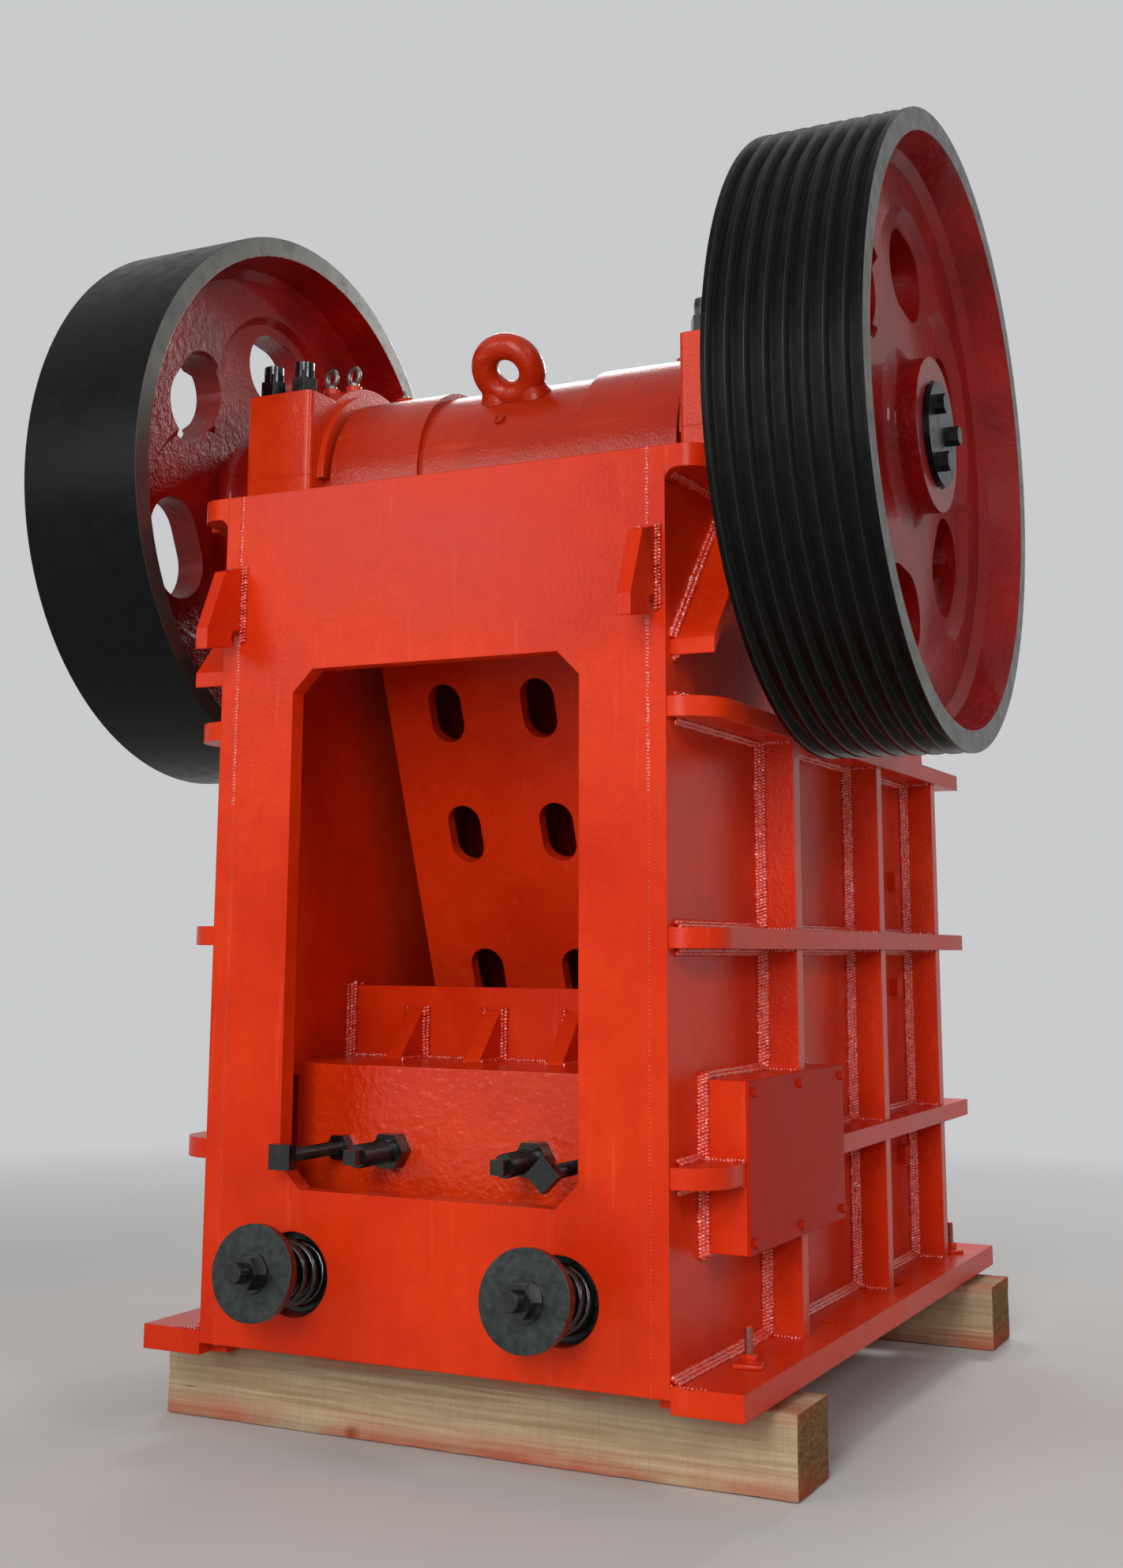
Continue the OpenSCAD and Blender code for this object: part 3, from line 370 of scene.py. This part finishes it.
# name, darker and lighter red, streak colour, orange peel size and depth in mm, how the brush
# draws it out along X, Y and Z, roughness, specular
PLATE = enamel("brushed_enamel_on_plate", "#CC2A09", "#DE380E", "#B82006", 11, 1.1,
               (1, 1, 14), 0.24, 0.15)
THICK = enamel("thick_enamel_with_orange_peel", "#CC2A08", "#DE3A0C", "#B82005", 11, 2.2,
               (1, 1, 3), 0.2, 0.3)
HAMMERED = enamel("enamel_on_rough_forged_block", "#D02E08", "#E03C0C", "#BC2205", 22, 7,
                  (3, 1, 1), 0.14, 0.5)
CAST = enamel("enamel_on_sand_casting", "#CC2C08", "#DE3A0C", "#B42206", 7, 1.8,
              (3, 1, 3), 0.2, 0.35)
HEAD = enamel("enamel_brushed_round_the_head", "#AE2406", "#C0300A", "#921804", 9, 2.2,
              (14, 1, 1), 0.18, 0.3)
COVER = enamel("deep_red_enamel_on_sheet", "#B41C06", "#BE2208", "#A41605", 9, 0.4,
               (1, 1, 14), 0.32, 0.05)
WELD = weld_enamel()
WHEEL = wheel_finish()
BLACK = black_enamel("black_gloss_enamel", 0.5, 0.25)
OILED = black_enamel("black_oiled_plate", 0.15, 0)
SPRING_PLATE = spring_plate_finish()
STEEL = bare_steel()
MANGANESE = manganese_steel()
TIMBER = sawn_timber()

FINISH_OF_SLOT = {"frame_paint": PLATE, "wheel_casting": WHEEL, "black_steel": BLACK,
                  "bare_steel": STEEL, "manganese_steel": MANGANESE, "timber": TIMBER}
FINISH_OF_NODE = {"spring_plates": SPRING_PLATE, "cover_plates": COVER,
                  "adjusting_block": HAMMERED, "shaft_end_plates": OILED,
                  "right_vertical_ribs": THICK, "left_vertical_ribs": THICK,
                  "pitman": HEAD, "lifting_eye": HEAD,
                  "left_bearing_cap": CAST, "right_bearing_cap": CAST,
                  "left_bearing_base": CAST, "right_bearing_base": CAST}

for part in frame["record"]["subparts"]:
    piece = frame["nodes"][part["node"]]
    piece.data.materials.clear()
    piece.data.materials.append(
        FINISH_OF_NODE.get(part["node"], FINISH_OF_SLOT[part["material_slot"]]))

# MODELLING TOOLS


def pick(*pieces):
    """Selects these pieces alone, with the first one active."""
    bpy.ops.object.select_all(action="DESELECT")
    for piece in pieces:
        piece.select_set(True)
    bpy.context.view_layer.objects.active = pieces[0]


def apply_all(piece):
    """Puts a piece's place, turn and scale into its mesh."""
    pick(piece)
    bpy.ops.object.transform_apply(location=True, rotation=True, scale=True)


def press(piece, kind, **settings):
    """Adds one modifier to a piece and applies it."""
    pick(piece)
    step = piece.modifiers.new("step", kind)
    for name, value in settings.items():
        setattr(step, name, value)
    bpy.ops.object.modifier_apply(modifier=step.name)


def point_along(piece, start, way):
    """Lays a piece that was made along +X from the origin, from start on along way."""
    piece.rotation_euler = way.to_track_quat("X", "Z").to_euler()
    piece.location = start
    apply_all(piece)


def dress(pieces, name, finish, slot, body, *hidden):
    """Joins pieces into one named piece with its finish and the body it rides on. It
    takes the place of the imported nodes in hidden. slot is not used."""
    pick(*pieces)
    if len(pieces) > 1:
        bpy.ops.object.join()
    piece = bpy.context.object
    piece.name = piece.data.name = name
    piece.data.materials.clear()
    piece.data.materials.append(finish)
    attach(piece, body)
    if hidden:
        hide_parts(*hidden)
    return piece


def clouds(name, size_mm):
    """A cloudy texture that pushes a surface in and out over about size_mm."""
    texture = bpy.data.textures.new(name, "CLOUDS")
    texture.noise_scale = size_mm * MM
    return texture


# WELD BEADS

# Millimetres in the wall's coordinates. A pair is where a plate starts and ends.
RIPPLE = 8.0  # from one ripple of a bead to the next
WOBBLE = clouds("hand_wobble", 15)
HALF_OUT = 610  # outer face of a side wall
INNER = 565  # inner face of a side wall
FLANGE_TOP = 29
RIBS = ((595, 640), (1328, 1373), (1927, 1972))  # upright ribs of a side wall, along Y
BAYS = ((FLANGE_TOP, 428), (475, 941), (988, 1455))  # upright ribs between the ledges
LEDGES = ((428, 475), (941, 988), (1455, 1502))  # level ribs of a side wall, along Z
RIB_REACH = 696  # how far out the welds across the ribs' ends run
BOX_REACH = 712  # how far out the welds beside the cover box run
WALL_END = 2196
LEDGE_ENDS = (46, 2180)
BOX_Y = (186, 880)  # cover box on a side wall
BOX_Z = (275, 650)
SEAT_UNDER = 2029  # underside of a bearing seat
BRACE_SLOPE = math.radians(49)
SEAM_TOP = 2080
SEAM_GROUND = 1290  # the upright seams are ground nearly flush up to here
HOOK_Z = (1702, 1892)
BRACKET_Y = (576, 616)  # upright plate of the adjuster's bracket
BRACKET_Z = (650, 836)
GUSSETS = (117, 351)  # how far the gussets' middles stand from the machine's middle
HALF_PLATE = 22.5
FRONT_FACE = 1960
FRONT_LEDGES = (428, 941, 1455, 1893)
FRONT_RIBS = (-282.5, 0, 282.5)
LEDGE_THICK = 47
OUT, BACK, FEED, UP, DOWN = (1, 0, 0), (0, -1, 0), (0, 1, 0), (0, 0, 1), (0, 0, -1)


def bead(start, end, radius):
    """One weld run as a row of flattened ripples from start to end."""
    way = spot(*end) - spot(*start)
    count = max(3, round(way.length / (RIPPLE * MM)))
    bpy.ops.object.select_all(action="DESELECT")
    bpy.ops.mesh.primitive_ico_sphere_add(subdivisions=1, radius=radius * MM, location=(0, 0, 0))
    run = bpy.context.object
    run.scale = (0.75, 1, 1)
    apply_all(run)
    press(run, "ARRAY", count=count, use_relative_offset=False, use_constant_offset=True,
          constant_offset_displace=(way.length / (count - 1), 0, 0))
    point_along(run, spot(*start), way)
    return run


def fillet(start, end, face_a, face_b, leg):
    """Weld runs side by side across a corner between two faces that point along face_a and
    face_b. leg is how far the weld reaches up each face."""
    rows = 3 if leg > 20 else 2 if leg > 13 else 1
    radius = leg * (0.62, 0.5, 0.4)[rows - 1]
    beads = []
    for row in range(rows):
        share = (row + 0.5) / rows
        shift = [0.82 * leg * (share * a + (1 - share) * b) * (0.4 if rows == 1 else 1)
                 for a, b in zip(face_a, face_b)]
        way = (Vector(end) - Vector(start)).normalized() * row * 0.37 * RIPPLE
        ends = [[p + d + w for p, d, w in zip(point, shift, way)] for point in (start, end)]
        beads.append(bead(ends[0], ends[1], radius))
    return beads


def weld_piece(name, beads, finish, uneven_mm):
    """Joins weld runs into one piece and makes them uneven, as laid by hand."""
    piece = dress(beads, name, finish, "frame_paint", "frame")
    press(piece, "DISPLACE", texture=WOBBLE, texture_coords="LOCAL", strength=uneven_mm * MM,
          mid_level=0.5)
    pick(piece)
    bpy.ops.object.shade_smooth()


def side_welds(s):
    """The welds on one side wall. s is 1 on the sheave's side and -1 on the flywheel's."""
    beads = []
    x = HALF_OUT

    def lay(start, end, face_a, face_b, leg):
        flip = [(s * v[0], v[1], v[2]) for v in (start, end, face_a, face_b)]
        beads.extend(fillet(*flip, leg))

    for n, (y0, y1) in enumerate(RIBS):
        for m, (z0, z1) in enumerate(BAYS):
            low = BOX_Z[1] if n == 0 and m == 1 else z0
            high = BOX_Z[0] if n == 0 and m == 0 else z1
            for y, face in ((y0, BACK), (y1, FEED)):
                lay((x, y, low + 4), (x, y, high - 4), OUT, face, 25)
                lay((x + 8, y, low), (RIB_REACH, y, low), face, UP, 12)
                lay((x + 8, y, high), (RIB_REACH, y, high), face, DOWN, 12)
    for z0, z1 in LEDGES:
        spans = (LEDGE_ENDS,)
        if z0 < BOX_Z[1]:
            spans = ((LEDGE_ENDS[0], BOX_Y[0]), (BOX_Y[1], LEDGE_ENDS[1]))
            for y, face in ((BOX_Y[0], BACK), (BOX_Y[1], FEED)):
                lay((x + 4, y, z0), (BOX_REACH, y, z0), face, DOWN, 12)
                lay((x + 4, y, z1), (BOX_REACH, y, z1), face, UP, 12)
        for y0, y1 in spans:
            lay((x, y0, z0), (x, y1, z0), OUT, DOWN, 16)
            lay((x, y0, z1), (x, y1, z1), OUT, UP, 16)
    lay((x, 8, FLANGE_TOP), (x, WALL_END, FLANGE_TOP), OUT, UP, 22)
    for y, face in ((BOX_Y[0], BACK), (BOX_Y[1], FEED)):
        lay((x, y, BOX_Z[0] - 6), (x, y, BOX_Z[1] + 6), OUT, face, 23)
    for z, face in ((BOX_Z[0], DOWN), (BOX_Z[1], UP)):
        lay((x, BOX_Y[0], z), (x, BOX_Y[1], z), OUT, face, 18)
    # bearing seat: its slanting brace and its underside
    slope = (0, math.sin(BRACE_SLOPE), -math.cos(BRACE_SLOPE))
    z = SEAT_UNDER
    lay((x, 32, 1597), (x, 405, z - 2), OUT, slope, 18)
    lay((x, 32, 1636), (x, 372, z - 2), OUT, [-v for v in slope], 18)
    lay((x, 34, z), (x, 368, z), OUT, DOWN, 16)
    lay((x, 408, z), (x, 1005, z), OUT, DOWN, 16)
    lay((x + 8, 405, z), (704, 405, z), FEED, DOWN, 12)
    return beads


def rear_welds():
    """The welds at the hooks' roots and across the ends of the base flanges, and the upper
    part of the upright seams between rear wall and side walls."""
    beads = []
    for s in (1, -1):
        beads.append(bead((s * INNER, 6, SEAM_GROUND), (s * INNER, 6, SEAM_TOP), 9))
        for x, side in ((INNER - 11, -s), (HALF_OUT - 22, s)):
            beads += fillet((s * x, 0, HOOK_Z[0]), (s * x, 0, HOOK_Z[1]), (side, 0, 0), BACK, 14)
        beads += fillet((s * (HALF_OUT + 4), 0, FLANGE_TOP), (s * 690, 0, FLANGE_TOP), BACK, UP,
                        6)
    return beads


def rear_seams():
    """The lower part of the upright seams, ground nearly flush under the enamel."""
    return [bead((s * INNER, 6.5, 2), (s * INNER, 6.5, SEAM_GROUND), 9) for s in (1, -1)]


def inner_welds():
    """The welds of the adjuster: upright plate, gussets and guides."""
    beads = []
    rear, feed = BRACKET_Y
    foot, top = BRACKET_Z
    for s in (1, -1):
        x, inward = s * INNER, (-s, 0, 0)
        beads += fillet((x, rear, foot), (x, rear, top), inward, BACK, 24)
        beads += fillet((x, feed, foot), (x, feed, top), inward, FEED, 16)
        beads += fillet((x, 210, 298), (x, 612, 298), inward, DOWN, 12)
        for middle in GUSSETS:
            for side in (-1, 1):
                g = s * middle + side * HALF_PLATE
                beads += fillet((g, 456, foot), (g, 570, foot), (side, 0, 0), UP, 12)
                beads += fillet((g, rear, 652), (g, rear, 778), (side, 0, 0), BACK, 17)
    for y, face in ((rear, BACK), (feed, FEED)):
        beads += fillet((10 - INNER, y, foot), (INNER - 10, y, foot), face, UP, 12)
    return beads


def front_welds():
    """The welds of the ribs on the feed end's wall."""
    beads = []
    y = FRONT_FACE
    for z in FRONT_LEDGES:
        for edge, face in ((z, DOWN), (z + LEDGE_THICK, UP)):
            beads += fillet((10 - INNER, y, edge), (INNER - 10, y, edge), FEED, face, 15)
            for s in (1, -1):
                beads += fillet((s * INNER, y, edge), (s * INNER, 2172, edge), (-s, 0, 0), face, 12)
    for x in FRONT_RIBS:
        for side in (-1, 1):
            edge = x + side * HALF_PLATE
            beads += fillet((edge, y, 36), (edge, y, 1890), (side, 0, 0), FEED, 15)
    for s in (1, -1):
        beads += fillet((s * INNER, y, 36), (s * INNER, y, 1995), (-s, 0, 0), FEED, 15)
    return beads


weld_piece("right_side_welds", side_welds(1), WELD, 7)
weld_piece("left_side_welds", side_welds(-1), WELD, 7)
weld_piece("rear_wall_welds", rear_welds(), WELD, 7)
weld_piece("rear_wall_seams", rear_seams(), THICK, 3)
weld_piece("seat_bracket_welds", inner_welds(), WELD, 7)
weld_piece("front_wall_welds", front_welds(), WELD, 7)

# SCREW THREADS


def thread(start, way, length, radius, pitch):
    """A raised V thread round a screw, from start along way."""
    bpy.ops.object.select_all(action="DESELECT")
    bpy.ops.mesh.primitive_circle_add(vertices=3, radius=0.42 * pitch * MM,
                                      location=(radius * MM, 0, 0), rotation=(math.pi / 2, 0, 0))
    ridge = bpy.context.object
    apply_all(ridge)
    turns = int(length / pitch)
    press(ridge, "SCREW", axis="Z", screw_offset=pitch * MM, iterations=turns, steps=14,
          render_steps=14)
    bpy.ops.object.mode_set(mode="EDIT")
    bpy.ops.mesh.select_all(action="SELECT")
    bpy.ops.mesh.fill_holes(sides=3)
    bpy.ops.mesh.normals_make_consistent(inside=False)
    bpy.ops.object.mode_set(mode="OBJECT")
    ridge.rotation_euler = Vector(way).to_track_quat("Z", "Y").to_euler()
    ridge.location = spot(*start)
    apply_all(ridge)
    return ridge


SCREW_Z = 452
STUD_Z = 2511  # top face of the studs' nuts
ROD_AT = (348, 25, 178)  # where a rod's line meets the wall's middle plane
ROD_NUT_OUT = 175 + 22 + 41  # spring, plate and nut, measured along the rod
ANCHOR_X = 693
ANCHOR_Y = (255, 2050)
STUD_RADIUS = 8.6


def all_threads():
    """The threads of the adjusting screws, bearing studs, tension rods and anchor bolts."""
    screws, studs, rods, anchors = [], [], [], []
    for s in (1, -1):
        screws.append(thread((s * 344, -46, SCREW_Z), FEED, 215, 14.5, 5))
        screws.append(thread((s * 195, 30, SCREW_Z), FEED, 125, 25.5, 6))
        for x in (594, 696):
            for y in (311, 901):
                studs.append(thread((s * x, y, STUD_Z), UP, 24, 26.5, 5))
        way = Vector((0, -math.cos(ROD_SLOPE), math.sin(ROD_SLOPE)))
        start = Vector((s * ROD_AT[0], *ROD_AT[1:])) + ROD_NUT_OUT * way
        rods.append(thread(start, way, 30, 21.5, 5))
        for y in ANCHOR_Y:
            anchors.append(thread((s * ANCHOR_X, y, 58), UP, 58, STUD_RADIUS, 3.5))
    dress(screws, "adjusting_screw_threads", BLACK, "black_steel", "frame")
    dress(studs, "bearing_stud_threads", BLACK, "black_steel", "frame")
    dress(rods, "tension_rod_threads", BLACK, "black_steel", "frame")
    dress(anchors, "anchor_bolt_threads", STEEL, "black_steel", "frame")


all_threads()

# ANCHOR BOLTS


def anchor_bolt(x, y, turn):
    """A thin anchor stud with its nut and a square plate washer, painted with the base."""
    bpy.ops.object.select_all(action="DESELECT")
    bpy.ops.mesh.primitive_cube_add(size=1, location=(0, 0, 5 * MM))
    washer = bpy.context.object
    washer.scale = (66 * MM, 62 * MM, 10 * MM)
    apply_all(washer)
    press(washer, "BEVEL", width=2 * MM, segments=2)
    bpy.ops.mesh.primitive_cylinder_add(vertices=6, radius=20 * MM, depth=19 * MM,
                                        location=(0, 0, 19.5 * MM))
    nut = bpy.context.object
    apply_all(nut)
    press(nut, "BEVEL", width=1.5 * MM, segments=2)
    bpy.ops.mesh.primitive_cylinder_add(vertices=24, radius=STUD_RADIUS * MM, depth=142 * MM,
                                        location=(0, 0, 17 * MM))
    stud = bpy.context.object
    apply_all(stud)
    press(stud, "BEVEL", width=1.5 * MM, segments=1, limit_method="ANGLE")
    pick(washer, nut, stud)
    bpy.ops.object.join()
    whole = bpy.context.object
    whole.rotation_euler = (0, 0, turn)
    whole.location = spot(x, y, FLANGE_TOP)
    apply_all(whole)
    bpy.ops.object.shade_smooth_by_angle(angle=math.radians(35))
    return whole


dress([anchor_bolt(s * ANCHOR_X, y, s * turn) for s in (1, -1)
       for y, turn in zip(ANCHOR_Y, (0.2, 0.5))],
      "anchor_studs_with_plate_washers", THICK, "frame_paint", "frame", "anchor_bolts")

# SPRINGS, NIPPLES AND PLUG


def smooth_springs():
    """The two coil springs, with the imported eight-sided wire made round."""
    source = frame["nodes"]["tension_springs"]
    piece = bpy.data.objects.new("round_wire_springs", source.data.copy())
    bpy.context.scene.collection.objects.link(piece)
    pick(piece)
    bpy.ops.object.mode_set(mode="EDIT")
    bpy.ops.mesh.select_all(action="SELECT")
    bpy.ops.mesh.remove_doubles(threshold=0.01 * MM)
    bpy.ops.object.mode_set(mode="OBJECT")
    press(piece, "SUBSURF", levels=1)
    pick(piece)
    bpy.ops.object.shade_smooth()
    dress([piece], "round_wire_springs", BLACK, "black_steel", "frame", "tension_springs")


def nipple(x, y, z, lean):
    """A grease nipple: a hexagon, a neck and a ball head."""
    bpy.ops.object.select_all(action="DESELECT")
    bpy.ops.mesh.primitive_cylinder_add(vertices=6, radius=11 * MM, depth=12 * MM,
                                        location=(0, 0, 5 * MM))
    base = bpy.context.object
    press(base, "BEVEL", width=1.2 * MM, segments=1, limit_method="ANGLE")
    bpy.ops.mesh.primitive_cone_add(vertices=16, radius1=6.5 * MM, radius2=3.5 * MM,
                                    depth=9 * MM, location=(0, 0, 15.5 * MM))
    neck = bpy.context.object
    bpy.ops.mesh.primitive_uv_sphere_add(segments=12, ring_count=8, radius=4.6 * MM,
                                         location=(0, 0, 22 * MM))
    head = bpy.context.object
    for part in (base, neck, head):
        apply_all(part)
    pick(base, neck, head)
    bpy.ops.object.join()
    whole = bpy.context.object
    whole.rotation_euler = (lean, 0, 0)
    whole.location = spot(x, y, z)
    apply_all(whole)
    bpy.ops.object.shade_smooth_by_angle(angle=math.radians(35))
    return whole


def oil_plug():
    """A round plug with a socket, screwed into the rear of the swing jaw's head."""
    bpy.ops.object.select_all(action="DESELECT")
    bpy.ops.mesh.primitive_cylinder_add(vertices=24, radius=16 * MM, depth=14 * MM,
                                        location=(0, 0, 3 * MM))
    plug = bpy.context.object
    apply_all(plug)
    bpy.ops.object.mode_set(mode="EDIT")
    bpy.ops.mesh.select_all(action="DESELECT")
    bpy.ops.object.mode_set(mode="OBJECT")
    for face in plug.data.polygons:
        face.select = face.normal.z > 0.9
    bpy.ops.object.mode_set(mode="EDIT")
    bpy.ops.mesh.select_mode(type="FACE")
    bpy.ops.mesh.inset(thickness=7 * MM)
    bpy.ops.mesh.extrude_region_move(TRANSFORM_OT_translate={"value": (0, 0, -6 * MM)})
    bpy.ops.object.mode_set(mode="OBJECT")
    press(plug, "BEVEL", width=1 * MM, segments=2, limit_method="ANGLE")
    plug.rotation_euler = (math.radians(61.4), 0, 0)
    plug.location = spot(-12, 369, 2317)
    apply_all(plug)
    bpy.ops.object.shade_smooth_by_angle(angle=math.radians(35))
    return plug


smooth_springs()
dress([nipple(s * 432, 585, 2486, math.radians(4)) for s in (1, -1)], "grease_nipples", STEEL,
      "bare_steel", "swing_jaw")
dress([oil_plug()], "swing_jaw_head_plug", HEAD, "frame_paint", "swing_jaw")

# TIMBERS


def sawn_beam(node, name):
    """A heavy sawn timber: worn edges and slightly hollow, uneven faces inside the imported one."""
    low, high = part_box(node)
    low, high = Vector(low), Vector(high)
    bpy.ops.object.select_all(action="DESELECT")
    bpy.ops.mesh.primitive_cube_add(size=1, location=(low + high) / 2)
    beam = bpy.context.object
    beam.scale = high - low
    apply_all(beam)
    press(beam, "BEVEL", width=6 * MM, segments=2)
    # the long edges are cut into 57 parts, then the short ones into 8
    for least, most, cuts in ((1.0, 9.0, 56), (0.12, 0.5, 7)):
        bpy.ops.object.mode_set(mode="EDIT")
        bpy.ops.mesh.select_mode(type="EDGE")
        bpy.ops.mesh.select_all(action="DESELECT")
        bpy.ops.object.mode_set(mode="OBJECT")
        points = beam.data.vertices
        for edge in beam.data.edges:
            a, b = (points[i].co for i in edge.vertices)
            edge.select = least < (a - b).length < most
        bpy.ops.object.mode_set(mode="EDIT")
        bpy.ops.mesh.subdivide(number_cuts=cuts)
        bpy.ops.object.mode_set(mode="OBJECT")
    press(beam, "DISPLACE", texture=clouds(name + "_wear", 70), texture_coords="LOCAL",
          strength=5 * MM, mid_level=1.0)
    pick(beam)
    bpy.ops.object.shade_smooth_by_angle(angle=math.radians(30))
    dress([beam], name, TIMBER, "timber", "frame", node)


sawn_beam("rear_timber", "rear_sawn_timber")
sawn_beam("front_timber", "front_sawn_timber")

# FLOOR, BACKDROP AND LIGHT


def pale_ground():
    """A pale floor that fades into the backdrop away from the machine."""
    material, tree, shader, where = new_material("pale_screed")
    patches = add(tree, "TexNoise", {"Vector": where, "Scale": per(900), "Detail": 2})
    put(tree, shader, {"Base Color": add(tree, "Mix", {0: patches, 6: "#CDCCC9", 7: "#D4D3D0"},
                                         2, data_type="RGBA"), "Roughness": 0.9})
    far = add(tree, "VectorMath", {0: where}, "Value", operation="LENGTH")
    fade = add(tree, "MixShader", {0: add(tree, "MapRange", {0: far, 1: 3.0, 2: 6.5}),
                                   1: shader.outputs[0], 2: add(tree, "BsdfTransparent", {})})
    put(tree, tree.nodes["Material Output"], {"Surface": fade})
    bpy.ops.mesh.primitive_plane_add(size=30, location=(0, 0, 0))
    floor = bpy.context.object
    floor.name = "floor"
    floor.data.materials.append(material)


def lamp(name, place, size, power, aim_z=1.5):
    """A square soft light that is aimed at the machine and isn't seen itself."""
    data = bpy.data.lights.new(name, "AREA")
    data.shape, data.size, data.energy = "SQUARE", size, power
    light = bpy.data.objects.new(name, data)
    bpy.context.scene.collection.objects.link(light)
    light.location = place
    aim = Vector((0, 0, aim_z)) - Vector(place)
    light.rotation_euler = aim.to_track_quat("-Z", "Y").to_euler()
    light.visible_camera = False


def soft_light():
    """A dim even sky that looks pale to the camera and in reflections, and soft lamps round the
    machine: place in metres, size in metres, watts, and the height that they are aimed at."""
    world = bpy.data.worlds.new("studio")
    bpy.context.scene.world = world
    world.use_nodes = True
    tree = world.node_tree
    tree.nodes.clear()
    rays = add(tree, "LightPath", {}).node.outputs
    seen = add(tree, "Math", {0: rays["Is Camera Ray"], 1: rays["Is Glossy Ray"]},
               operation="MAXIMUM")
    seen = add(tree, "Math", {0: seen, 1: rays["Is Transmission Ray"]}, operation="MAXIMUM")
    dim = add(tree, "Background", {"Color": "#E6E9EC", "Strength": 0.26})
    pale = add(tree, "Background", {"Color": "#D8DADC", "Strength": 0.85})
    both = add(tree, "MixShader", {0: seen, 1: dim, 2: pale})
    put(tree, tree.nodes.new("ShaderNodeOutputWorld"), {"Surface": both})
    lamp("main_light", (1.6, -8.4, 4.6), 2.6, 225)
    lamp("left_light", (-4.6, -8.6, 4.4), 3.2, 150)
    lamp("right_light", (7.0, -4.0, 5.0), 1.6, 115)
    lamp("back_light", (0.25, 4.8, 4.9), 1.2, 130, 2.4)
    lamp("left_back_light", (-3.7, 6.1, 7.9), 2.2, 110, 2.4)
    lamp("near_light", (1.4, -6.2, 1.9), 1.4, 80, 1.0)


pale_ground()
soft_light()
bpy.context.scene.view_settings.view_transform = "Standard"
